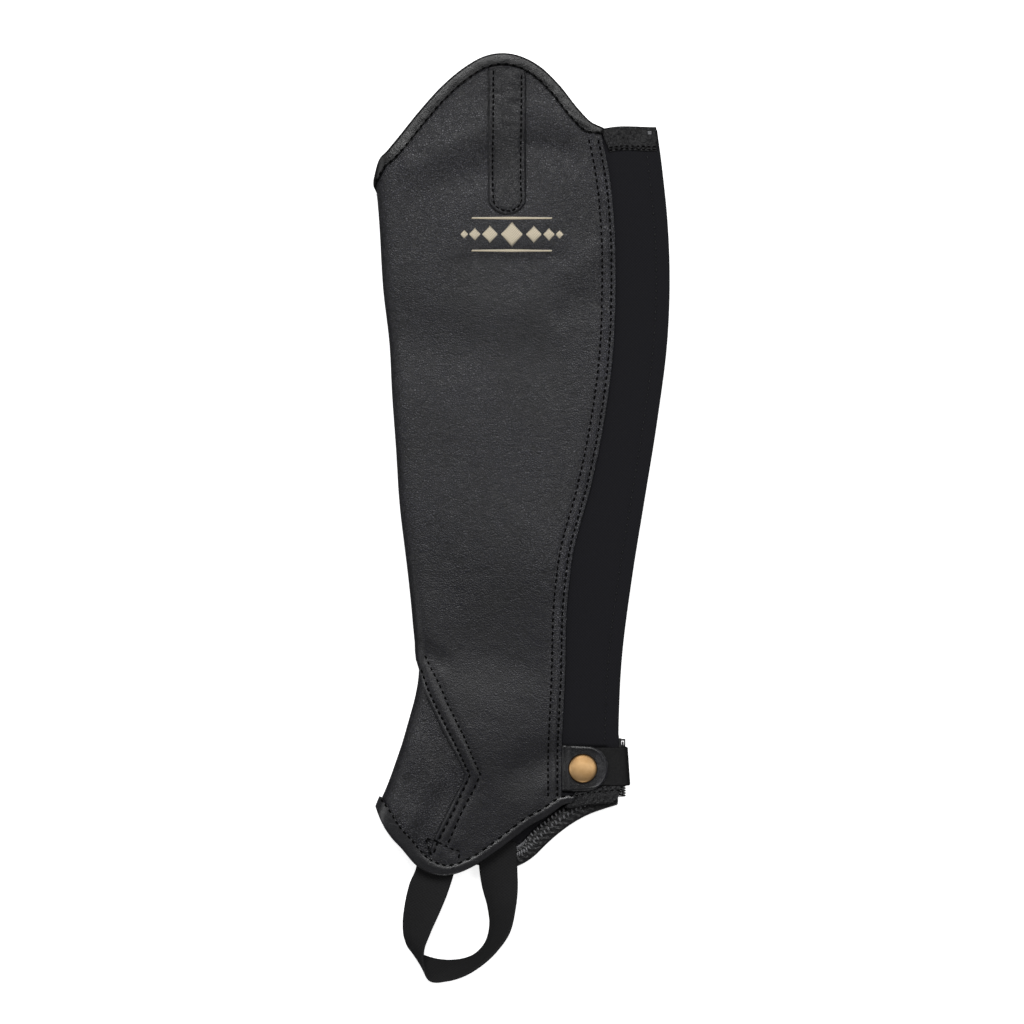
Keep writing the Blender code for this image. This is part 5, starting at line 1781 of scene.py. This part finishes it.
@dataclass(frozen=True)
class StretchPanel:
    """The stretch fabric between the leather and the zip, with a folded hem at each end."""

    form: LegForm
    top: Table = ((33.0, 195.5), (38.5, 200.5), (42.6, 204.6), (46.0, 205.4), (71.8, 205.9))
    bottom: Table = ((13.5, -143.0), (18.5, -147.5), (23.4, -151.6), (36.0, -150.8), (50.9, -149.6))
    # Where the hems start, and the width of their outer legs
    top_from: tuple[float, float] = (42.6, 205.4)
    bottom_from: tuple[float, float] = (24.2, -151.6)
    top_leg: float = 11.4
    bottom_leg: float = 8.4
    inner_leg: float = 3.0
    # Its grid's size, and the stretch of close rows where the snap strap presses it down
    width: float = 38.0
    height: float = 350.0
    pressed: tuple[float, float] = (0.053, 0.088)
    # The row that holds the zip tape, and the roll beside the zip
    zip_row: float = 7.4
    roll_at: float = 3.4
    strap_top: float = -122.1
    tack_at: tuple[float, float] = (68.4, 204.0)

    def tack(self, surface: float) -> list[StitchRow]:
        """The small bar of close stitches at the outer corner of the top hem.

        Args:
            surface: Depth of the band's face, mm.

        Returns:
            The stitches.
        """
        x, y = self.tack_at
        return [
            StitchRow(self.form.line(((at, y - 1.1), (at, y + 1.1)), Side.NEAR), surface, 2.2, 2.1)
            for at in (x - 0.9, x - 0.45, x, x + 0.45)
        ]

    def cloth(self, reach: Array) -> tuple[Any, Any]:
        """The stretch fabric's two faces."""
        return UNDER_LEATHER, UNDER_LEATHER + ELASTIC

    def panel(self, top: Array, bottom: Array) -> Sheet:
        """The stretch fabric, under the leather on one side and rolled to the zip on the other.

        Args:
            top: Its top edge in (reach, y).
            bottom: Its bottom edge.

        Returns:
            The sheet.
        """
        form = self.form
        rows = np.unique(np.append(graded(self.height, RIM, RIM, 1.6), np.linspace(*self.pressed, 36)))
        right = form.upright(form.back, bottom[-1, 1], top[-1, 1], Side.NEAR)
        right[:, 0] += 0.7 * bump(right[:, 1], -119.5, 4.0)
        y = np.linspace(bottom[0, 1], top[0, 1], form.samples)
        (low_x, low_y), (high_x, _) = self.bottom[0], self.top[0]
        x = read(form.leather_back, y) + (low_x - read(form.leather_back, low_y))
        x = x + (high_x - x[-1]) * np.linspace(0.0, 1.0, form.samples)
        left = form.places(x, y, Side.NEAR)
        columns = graded(self.width, RIM, (*RIM, 1.8, 3.0, 4.4, 5.6, 6.4, 7.2, 8.0, 9.0, 10.4), 2.2)
        grid = filled(by_share(left, 1, rows), by_share(right, 1, rows), bottom, top, columns)
        up = grid[..., 1]
        inset = np.interp(up, right[:, 1], right[:, 0]) - grid[..., 0]
        ribs = 1.0 + 0.9 * np.sin(up * math.tau / 4.8 + 1.5 * waves(31, 5, 12.0, 30.0)(grid))
        depth = UNDER_LEATHER + 0.2 * bump(inset, self.zip_row, 1.0)
        depth = depth - 0.12 * bump(inset, self.roll_at, 1.0) * ribs
        depth = depth + 1.7 * bump(up, self.strap_top, 1.2) * ease((inset - 4.6) / 3.0)
        return Sheet.of_grid(form, grid, depth, ELASTIC)

    def build(self) -> list[Piece]:
        """Builds the panel, its hems and their stitches.

        Returns:
            The pieces.
        """
        form = self.form
        top, bottom = (form.edge(table, Side.NEAR) for table in (self.top, self.bottom))
        sheet = self.panel(top, bottom)
        panel = sheet.build(STRETCH_CLOTH, [STRETCH_KNIT], Slot.STRETCH, "elastic_panel")
        starts = (float(form.reach(*at, Side.NEAR)) for at in (self.top_from, self.bottom_from))
        lines = part_of(top, top[-1, 0], next(starts)), part_of(bottom, next(starts), bottom[-1, 0])
        upper, lower = (
            FoldedStrip(
                form, f"stretch_{end}_hem_band", line, 1.0, leg, self.inner_leg, HEM_BAND, Slot.STRETCH,
                f"elastic_{end}_hem", self.cloth, spacing=1.2, seed=seed,
            )
            for end, line, leg, seed in zip(
                ("top", "bottom"), lines, (self.top_leg, self.bottom_leg), (8, 9)
            )
        )
        hems = [upper.build(), lower.build()]
        line = form.upright(form.back, -119.0, 193.0, Side.NEAR, self.zip_row)
        thread = Sewing(form, radius=0.36, dip=0.7).build(
            "stretch_panel_stitches", [StitchRow(line, UNDER_LEATHER + 0.12, 3.7, 1.7)], STRETCH_THREAD
        )
        rows = [strip.row(inset, 2.7, 1.9) for strip, inset in ((upper, 9.2), (upper, 10.6), (lower, 5.6))]
        hems.append(Sewing(form, radius=0.36).build("hem_stitches", rows))
        bar = self.tack(UNDER_LEATHER - FOLD_GAP - STRIP - 0.1)
        hems.append(Sewing(form, radius=0.3, dip=0.4).build("hem_bar_tack", bar, TACK_THREAD))
        sheet.declare(panel, Held.LAID, PANEL, thread)
        return [panel, *hems, thread]


@dataclass(frozen=True)
class ZipFastener:
    """Two tapes and a coil chain that stands on edge between the walls."""

    form: LegForm
    foot_y: float = -124.0
    top_y: float = 197.0
    open_to_y: float = -147.2
    # The chain: distance between loops, the wire's radius, its place inside the edge and its depth
    pitch: float = 1.3
    wire: float = 0.34
    inset: float = 0.3
    depth: float = 2.2
    core: float = 0.75
    rows: int = 120
    tape_width: float = 13.0
    # How far the outer tape's foot turns out, and the slant at which both feet are cut
    turn_out: float = 2.6
    slant: float = 6.0
    # One loop where the zip stands open: across, along and up from the tape's edge
    open_loop: Table = (
        (0.4, -0.3, 0.5), (3.2, -0.3, 1.3), (5.6, -0.2, 1.4), (6.2, 0, 0.7), (5.7, 0.25, 0), (3, 0.3, -0.3),
        (0.4, 0.3, -0.2),
    )
    # One loop of the closed chain: wires in from its outer edge, or out from its inner one where
    # negative, and the share of the way across the chain
    loop: Table = (
        (-1, 0.08), (0.6, 0.06), (1, 0.3), (1, 0.56), (2.6, 0.66), (-1, 0.5), (-1, 0.2),
    )

    def chain_corners(self, y: Array) -> tuple[Array, Array, Array, Array]:
        """The space that the chain fills.

        Args:
            y: Plan y, mm.

        Returns:
            Inner and outer x, far and near z.
        """
        outer = read(self.form.back, y) - self.inset
        far, near = (
            self.form.at(self.form.reach(outer, y, side), y, depth)[..., 2]
            for side, depth in ((Side.FAR, LEATHER + 0.7), (Side.NEAR, UNDER_ELASTIC))
        )
        return outer - self.depth, outer, far, near

    def open_end(self) -> Array:
        """The outer tape's loops below the slider, where the zip stands open.

        Returns:
            Middle lines (count, steps, 3).
        """
        y = np.arange(self.open_to_y, self.foot_y - 5.0, self.pitch)
        edge = read(self.form.back, y) - self.inset - self.depth
        height = self.form.at(self.form.reach(edge, y, Side.NEAR), y, UNDER_ELASTIC)[:, 2]
        return joined(edge, y, height)[:, None] + np.array(self.open_loop)

    def coil(self) -> Piece:
        """Hooked loops from both tapes, meshed at the middle, round a thin core cord.

        Returns:
            The piece.
        """
        paths = []
        count = int((self.top_y - self.foot_y) / self.pitch)
        for shift, from_near in ((0.0, True), (0.5, False)):
            y = self.foot_y + (np.arange(count) + shift) * self.pitch
            inner, outer, far, near = self.chain_corners(y)
            root = near if from_near else far
            way = np.where(near > far, 1.0, -1.0) * (-1.0 if from_near else 1.0)
            slants = np.linspace(-0.16, 0.16, len(self.loop))
            paths.append(np.stack([
                joined(
                    inner + self.wire if wires < 0.0 else outer - wires * self.wire,
                    y + slant, root + way * np.abs(near - far) * share,
                )
                for (wires, share), slant in zip(self.loop, slants)
            ], axis=1))
        middle = np.concatenate([*paths, self.open_end()])
        ups = np.tile([0.0, 1.0, 0.0], (len(middle), 1))
        points, faces, cut = tubes(middle, ups, np.full(middle.shape[1], self.wire), 5)
        y = np.linspace(self.foot_y, self.top_y, self.rows)
        inner, outer, far, near = self.chain_corners(y)
        core = joined((inner + outer) / 2.0, y, (far + near) / 2.0)[None]
        more, more_faces, more_cut = tubes(core, np.eye(3)[:1], np.full(self.rows, self.core), 6)
        faces += [[i + len(points) for i in face] for face in more_faces]
        made = mesh_object(
            "zip_coil_chain", np.append(points, more, axis=0), faces, [ZIP_NYLON],
            np.append(cut, more_cut, axis=0),
        )
        return dress(made, Slot.COIL, "zip_chain")

    def tape(
        self, name: str, node: str, side: Side, depth: float, low: float, high: float
    ) -> Piece:
        """One tape, sewn inside a wall.

        Args:
            name: The piece's name.
            node: The solid that it stands for.
            side: The wall.
            depth: Depth of its outer face, mm.
            low: Its foot, mm.
            high: Its head, mm.

        Returns:
            The object.
        """
        near = side is Side.NEAR
        y = np.linspace(low, high, self.rows)[:, None]
        shares = graded(self.tape_width, RIM, RIM, 1.6)
        edge = read(self.form.back, y) - self.inset - self.depth - GAP
        x = edge + self.turn_out * ease((low + 8.0 - y) / 6.0) * near - self.tape_width * (1.0 - shares)
        y = y + self.slant * (1.0 - shares) * ease((low + 12.0 - y) / 12.0)
        depth = depth + 1.6 * ease((-142.0 - y) / 5.0)
        grid = self.form.places(x, y, side)
        sheet = Sheet.of_grid(self.form, grid if near else grid[::-1], depth, TAPE)
        cut = joined(shares * self.tape_width, y)
        sheet.cut = cut.reshape(-1, 2)
        made = sheet.build(name, [ZIP_TAPE], Slot.TAPE, node)
        return sheet.declare(made, Held.LAID, STRETCH_CLOTH if near else PANEL)

    def metal(self) -> None:
        """Gives the slider and the pull tab, whose solids are right as they are, their enamel."""
        for node in ("zip_slider", "zip_pull"):
            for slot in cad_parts[node].material_slots:
                slot.material = ENAMEL.material()
            LOG.info("%s: enamelled", node)

    def build(self) -> list[Piece]:
        """Builds the tapes and the chain, and finishes the metal.

        Returns:
            The pieces.
        """
        self.metal()
        return [
            self.tape("zip_tape_outer", "zip_tape_near", Side.NEAR, UNDER_ELASTIC, -152.0, 198.5),
            self.tape("zip_tape_inner", "zip_tape_far", Side.FAR, UNDER_LEATHER + 0.2, -112.0, 196.0),
            self.coil(),
        ]


@dataclass(frozen=True)
class SnapFastening:
    """The snap strap round the zip, the leather tab over its end, and the brass cap."""

    form: LegForm
    # The tab: its root and tip, its middle, its half width at the root and the end, and its round
    tab_left: float = 22.1
    tab_tip: float = 46.0
    tab_y: float = -132.6
    half_root: float = 12.2
    half_end: float = 11.6
    round_x: float = 10.5
    # Where it rises onto the strap and over what run, and where its end grows thin and supple and its
    # painted reflection begins
    rise_x: float = 22.6
    rise_run: float = 4.9
    supple_x: float = 38.5
    # The strap: its end under the tab, its two edges, how far it stands out round the zip at each,
    # and how far it runs under the far wall
    strap_left: float = 28.6
    strap_top: float = -121.9
    strap_foot: float = -141.5
    out_top: float = 5.0
    out_foot: float = 6.4
    under: float = 11.0
    cap_at: tuple[float, float] = (32.6, -132.5)
    cap_radius: float = 7.8
    cap_lean: float = 0.022
    cap_sides: int = 72
    # Share of the radius and height, from the dome's peak to its flat back
    cap_outline: Table = (
        (0, 2.7), (0.2, 2.68), (0.4, 2.6), (0.58, 2.46), (0.74, 2.24), (0.85, 1.98), (0.92, 1.62),
        (0.96, 1.16), (0.985, 0.7), (1, 0.38), (0.995, 0.18), (0.97, 0.06), (0.9, 0.02), (0.5, 0.02),
    )

    def tab_depth(self, x: Any) -> Any:
        """Depth of the tab's outer face: level with the leather at its root, then over the strap."""
        root, over = LEATHER - TAB, UNDER_LEATHER - GAP - STRAP - GAP - TAB
        return root + (over - root) * ease((x - self.rise_x) / self.rise_run)

    def tab(self) -> Sheet:
        """The leather tab: a raised bead runs round its rounded end, and its thin end beyond the cap is
        painted paler, a painted reflection.

        Returns:
            The sheet.
        """
        turn = self.tab_tip - self.round_x
        straight = np.append(np.linspace(self.tab_left, turn, 16), np.full(21, turn))
        rows = (2.0 * graded(24.0, FINE[:8], FINE[:8], 1.0) - 1.0)[:, None]
        into = np.append(np.zeros(16), np.sin(np.linspace(0.0, QUARTER, 22)[1:]))
        share = np.minimum((straight - self.tab_left) / (turn - self.tab_left), 1.0)
        half = self.half_root + (self.half_end - self.half_root) * share
        # A square grid drawn out to a half disc at the tip
        x = straight + self.round_x * into * np.sqrt(1.0 - rows**2 / 2.0)
        y = self.tab_y + half * rows * np.sqrt(1.0 - into**2 / 2.0)
        grid = self.form.places(x, y, Side.NEAR)
        outline = np.concatenate([grid[0], grid[1:-1, -1], grid[-1][::-1]])
        apart = distance_to(grid.reshape(-1, 2), outline).reshape(y.shape)
        depth = self.tab_depth(x) + 0.3 * bump(apart, 0.0, 0.45)
        depth = depth - (0.05 + 0.2 * ease((x - 33.0) / 6.0)) * bump(apart, 0.9, 0.5)
        thin = 0.75 * ease((x - self.supple_x) / 10.0)
        sheet = Sheet.of_grid(self.form, grid, depth + thin, TAB - thin)
        # Painted reflection: the thin end beyond the cap is painted paler, and its grain looser
        sheet.grain_and_light = (0.75 * ease((x - self.supple_x) / 3.5)).ravel()
        return sheet

    def strap(self) -> Sheet:
        """The strap: over the stretch panel, round the slider and under the far wall.

        Returns:
            The sheet.
        """
        out, up = half_turn(22, 0.75)
        sections = []
        for share in graded(20.0, FINE[:7], FINE[:7], 1.3):
            y = self.strap_foot + share * (self.strap_top - self.strap_foot)
            edge = float(read(self.form.back, y)) + 0.4
            reach = self.form.reach(np.linspace(self.strap_left, edge, 20), y, Side.NEAR)
            over = self.form.at(reach, y, UNDER_LEATHER - GAP - STRAP)
            half = over[-1, 2] / 2.0
            stands = self.out_foot + (self.out_top - self.out_foot) * share - 0.4
            ring = joined(edge + stands * out, y, half + half * up)
            under = joined(np.linspace(edge, edge - 0.4 - self.under, 12), y, 0.0)
            sections.append(np.concatenate([over, ring, under]))
        return Sheet.of_band(np.array(sections), STRAP, 0.0)

    def cap(self) -> Piece:
        """The domed brass cap, turned about its own axis, with a rolled rim.

        Returns:
            The piece.
        """
        reach = float(self.form.reach(*self.cap_at, Side.NEAR))
        place = np.array([reach]), np.array([self.cap_at[1]])
        base = self.form.at(*place, self.tab_depth(self.cap_at[0]) - GAP)[0]
        up = Vector(self.form.out(*place)[0].tolist())
        turn = np.array(Vector((0.0, 0.0, 1.0)).rotation_difference(up).to_matrix())
        sides = self.cap_sides
        angle = np.arange(sides) * math.tau / sides
        outline = np.array(self.cap_outline[1:])
        size = outline[:, :1] * self.cap_radius
        rings = joined(size * np.cos(angle), size * np.sin(angle), outline[:, 1:])
        points = np.append([[0.0, 0.0, self.cap_outline[0][1]]], rings.reshape(-1, 3), axis=0)
        # Painted shade: brown at the rim and a darker crescent towards its upper edge
        out = np.hypot(points[:, 0], points[:, 1]) / self.cap_radius
        upper = 0.5 * ease((out - 0.35) / 0.4) * ease((points[:, 1] / self.cap_radius) / 0.6)
        painted_shade = np.maximum(0.95 * ease((out - 0.925) / 0.04), upper)
        flat = np.column_stack([points[:, :2], painted_shade])
        points[:, 2] *= 1.0 - self.cap_lean * points[:, 1]
        around = [(1 + i, 1 + (i + 1) % sides) for i in range(sides)]
        faces = [[0, i, j] for i, j in around]
        for row in range(0, (len(outline) - 1) * sides, sides):
            faces += [[row + i, row + i + sides, row + j + sides, row + j] for i, j in around]
        faces.append([(len(outline) - 1) * sides + i for i, _ in reversed(around)])
        made = mesh_object("snap_cap_brass", points @ turn.T + base, faces, [BRASS], flat)
        return dress(made, Slot.BRASS, "snap_cap")

    def build(self) -> list[Piece]:
        """Builds the strap, the tab and the cap.

        Returns:
            The pieces.
        """
        sheet = self.strap()
        strap = sheet.build("snap_strap_leather", [STRAP_HIDE], Slot.LEATHER, "snap_strap")
        sheet.declare(strap, Held.FOLDED, STRETCH_CLOTH)
        sheet = self.tab()
        tab = sheet.build("snap_tab_leather", [TAB_HIDE], Slot.LEATHER, "snap_tab")
        return [strap, sheet.declare(tab, Held.LAID, strap.name), self.cap()]


@dataclass(frozen=True)
class StirrupLoop:
    """The woven band under the foot: a row per section, the edge that starts outside, then the other."""

    sections: Table = (
        (-56.5, -171, 8.6, -33.5, -174, 8.6), (-55, -185, 9, -36, -188, 9.2),
        (-58.6, -194, 8.2, -39.2, -198.2, 9.6), (-61.5, -206.7, 4.8, -43.5, -208.8, 11.2),
        (-62.5, -217.3, 1.6, -48.2, -219.4, 12.8), (-61.5, -223.7, 0.9, -51.6, -228.4, 15.2),
        (-58.2, -229.8, 0.8, -51.2, -238.2, 15), (-51.4, -233, 0.8, -48.2, -244.3, 14.6),
        (-41.3, -235.4, 0.8, -38.6, -244.1, 17), (-31.8, -235, 0.8, -29.2, -240.9, 18.4),
        (-23.9, -231.9, 0.8, -19.6, -234.6, 19), (-18.6, -225.8, 0.8, -12.7, -227.9, 18.7),
        (-16.4, -217.3, 0.8, -6.6, -219.4, 16.7), (-17.5, -206.7, 1.2, -3.2, -206.7, 13),
        (-20, -197, 2.6, -2.2, -197.2, 9), (-21.6, -186.6, 5.6, -2.4, -187, 6.2),
        (-22, -172, 6, -3, -172, 6),
    )
    width: float = 19.0
    rows: int = 150

    def build(self) -> list[Piece]:
        """Builds the band.

        Returns:
            The pieces.
        """
        table = np.array(self.sections)
        chord = lengths_along((table[:, :3] + table[:, 3:]) / 2.0)
        wanted = np.linspace(0.0, chord[-1], self.rows)
        smooth = joined(*(curve_through(chord, column, wanted) for column in table.T))
        shares = graded(self.width, FINE[:5], FINE[:5], 0.9)[None, :, None]
        sheet = Sheet.of_band(smooth[:, None, :3] * (1.0 - shares) + smooth[:, None, 3:] * shares, WEBBING)
        made = sheet.build("stirrup_webbing", [STRAP_WEBBING], Slot.WEBBING, "stirrup_strap", 0.4)
        return [sheet.declare(made, Held.FOLDED, PANEL)]


@dataclass(frozen=True)
class Motif:
    """A plain cream motif in satin stitch: a row of lozenges between two thin bars."""

    form: LegForm
    middle: tuple[float, float] = (-4.8, 150.0)
    lozenges: Table = (
        (0, 5.6, 6.4), (-11.6, 4, 4.4), (11.6, 4, 4.4), (-19.6, 2.8, 3.2), (19.6, 2.8, 3.2),
        (-25.2, 1.8, 2.2), (25.2, 1.8, 2.2),
    )
    bars: Table = ((0.0, 8.6, 21.0), (0.0, -8.6, 21.0))
    bar_half: float = 0.75
    pitch: float = 0.46
    radius: float = 0.27

    def threads(self) -> Array:
        """Ends of every satin thread in plan.

        Returns:
            Points (count, 2, 2), mm.
        """
        ends = []
        for at_x, half_x, half_y in self.lozenges:
            for x in np.arange(-half_x + self.pitch / 2.0, half_x, self.pitch):
                tall = half_y * (1.0 - abs(x) / half_x) + 0.25
                ends.append([(at_x + x, -tall), (at_x + x, tall)])
        for at_x, at_y, half_x in self.bars:
            for x in np.arange(-half_x, half_x, self.pitch):
                tall = self.bar_half * (1.0 - 0.5 * abs(x) / half_x)
                ends.append([(at_x + x - 0.25, at_y - tall), (at_x + x + 0.25, at_y + tall)])
        return np.array(ends) + np.array(self.middle)

    def build(self) -> list[Piece]:
        """Builds the motif's threads on the leather.

        Returns:
            The pieces.
        """
        ends = self.threads()
        shares = np.linspace(0.0, 1.0, 7)[:, None]
        plan = ends[:, :1] * (1.0 - shares) + ends[:, 1:] * shares
        reach, y = self.form.reach(plan[..., 0], plan[..., 1], Side.NEAR), plan[..., 1]
        # Long threads arch higher over the padding than short ones
        tall = np.linalg.norm(ends[:, 1] - ends[:, 0], axis=1)[:, None]
        arch = np.sin(math.pi * shares[:, 0])[None] ** 0.6 * np.clip(0.22 + 0.035 * tall, 0.0, 0.6)
        radii = self.radius * np.array([0.6, 0.95, 1.0, 1.0, 1.0, 0.95, 0.6])
        paths = self.form.at(reach, y, 0.16 - arch)
        points, faces, cut = tubes(paths, self.form.out(reach[:, 3], y[:, 3]), radii)
        return [dress(mesh_object("cream_motif", points, faces, [MOTIF_THREAD], cut))]


@dataclass(frozen=True)
class Studio:
    """A white paper floor, soft light and a long lens straight above, as in the photograph."""

    middle: tuple[float, float] = (-4.96, 3.02)
    frame_mm: float = 542.7
    level_mm: float = 9.0
    lens: float = 140.0
    sensor: float = 36.0
    # Each soft box: turn from +x and tilt from straight up, degrees; distance, side, m; power, W
    lights: Table = (
        (95, 31, 3.4, 1.3, 57), (28, 38, 3.4, 1.3, 28), (176, 60, 3.4, 2.4, 27), (275, 72, 3.4, 1, 11),
    )
    sky: float = 0.1
    # The paper: half its side, where it begins to rise, how steeply, and how far it is under the part
    paper: float = 3000.0
    level_to: float = 2400.0
    dish: float = 0.0002
    below: float = 0.5

    def camera(self) -> None:
        """Adds the camera straight above, its frame as wide as the photograph's."""
        data = bpy.data.cameras.new("photo_camera")
        data.lens = self.lens
        data.sensor_width = self.sensor
        data.clip_end = 20.0
        made = in_scene("photo_camera", data)
        height = self.frame_mm * self.lens / self.sensor + self.level_mm
        made.location = (self.middle[0] * MM, self.middle[1] * MM, height * MM)
        bpy.context.scene.camera = made

    def floor(self) -> None:
        """Adds the paper, slightly dished at its far edges so that it has no hard line."""
        count = 41
        side = np.linspace(-1.0, 1.0, count)
        x, y = np.meshgrid(np.sign(side) * np.abs(side) ** 1.6 * self.paper, side * self.paper)
        far = np.maximum(np.hypot(x, y) - self.level_to, 0.0)
        points = joined(x, y, far * far * self.dish - self.below).reshape(-1, 3) - PLACE
        made = mesh_object("paper_floor", points, grid_faces(count, count).tolist(), [PAPER])
        # The photograph is a cut-out: its white ground throws no light on the leather
        made.visible_diffuse = False
        made.visible_glossy = False

    def light(self) -> None:
        """Adds soft boxes round the object and an even sky."""
        for i, (turn, tilt, far, size, power) in enumerate(self.lights):
            turn, tilt = math.radians(turn), math.radians(tilt)
            flat = far * math.sin(tilt)
            data = bpy.data.lights.new(f"soft_box_{i}", "AREA")
            data.shape = "SQUARE"
            data.size = size
            data.energy = power
            made = in_scene(data.name, data)
            made.location = (flat * math.cos(turn), flat * math.sin(turn), far * math.cos(tilt))
            made.rotation_mode = "QUATERNION"
            made.rotation_quaternion = (-made.location).to_track_quat("-Z", "Y")
        world = bpy.data.worlds.new("studio_sky")
        world.use_nodes = True
        sky = {"Color": (1.0, 1.0, 1.0, 1.0), "Strength": self.sky}
        feed(world.node_tree, world.node_tree.nodes["Background"], sky)
        bpy.context.scene.world = world
        bpy.context.scene.view_settings.view_transform = "Standard"

    def build(self) -> None:
        """Sets up the camera, the floor and the light."""
        self.camera()
        self.floor()
        self.light()


def main() -> None:
    """Builds the studio and every sub-assembly."""
    logging.basicConfig(level=logging.INFO, format="%(name)s %(message)s")
    form = LegForm()
    seams = SeamPlan(form)
    Studio().build()
    for assembly in (
        EdgeBindings(form), LeatherBody(form, seams), StretchPanel(form), ZipFastener(form),
        SnapFastening(form), StirrupLoop(), Motif(form),
    ):
        pieces = assembly.build()
        LOG.info("%s: %d pieces", type(assembly).__name__, len(pieces))


if __name__ == "__main__":
    main()
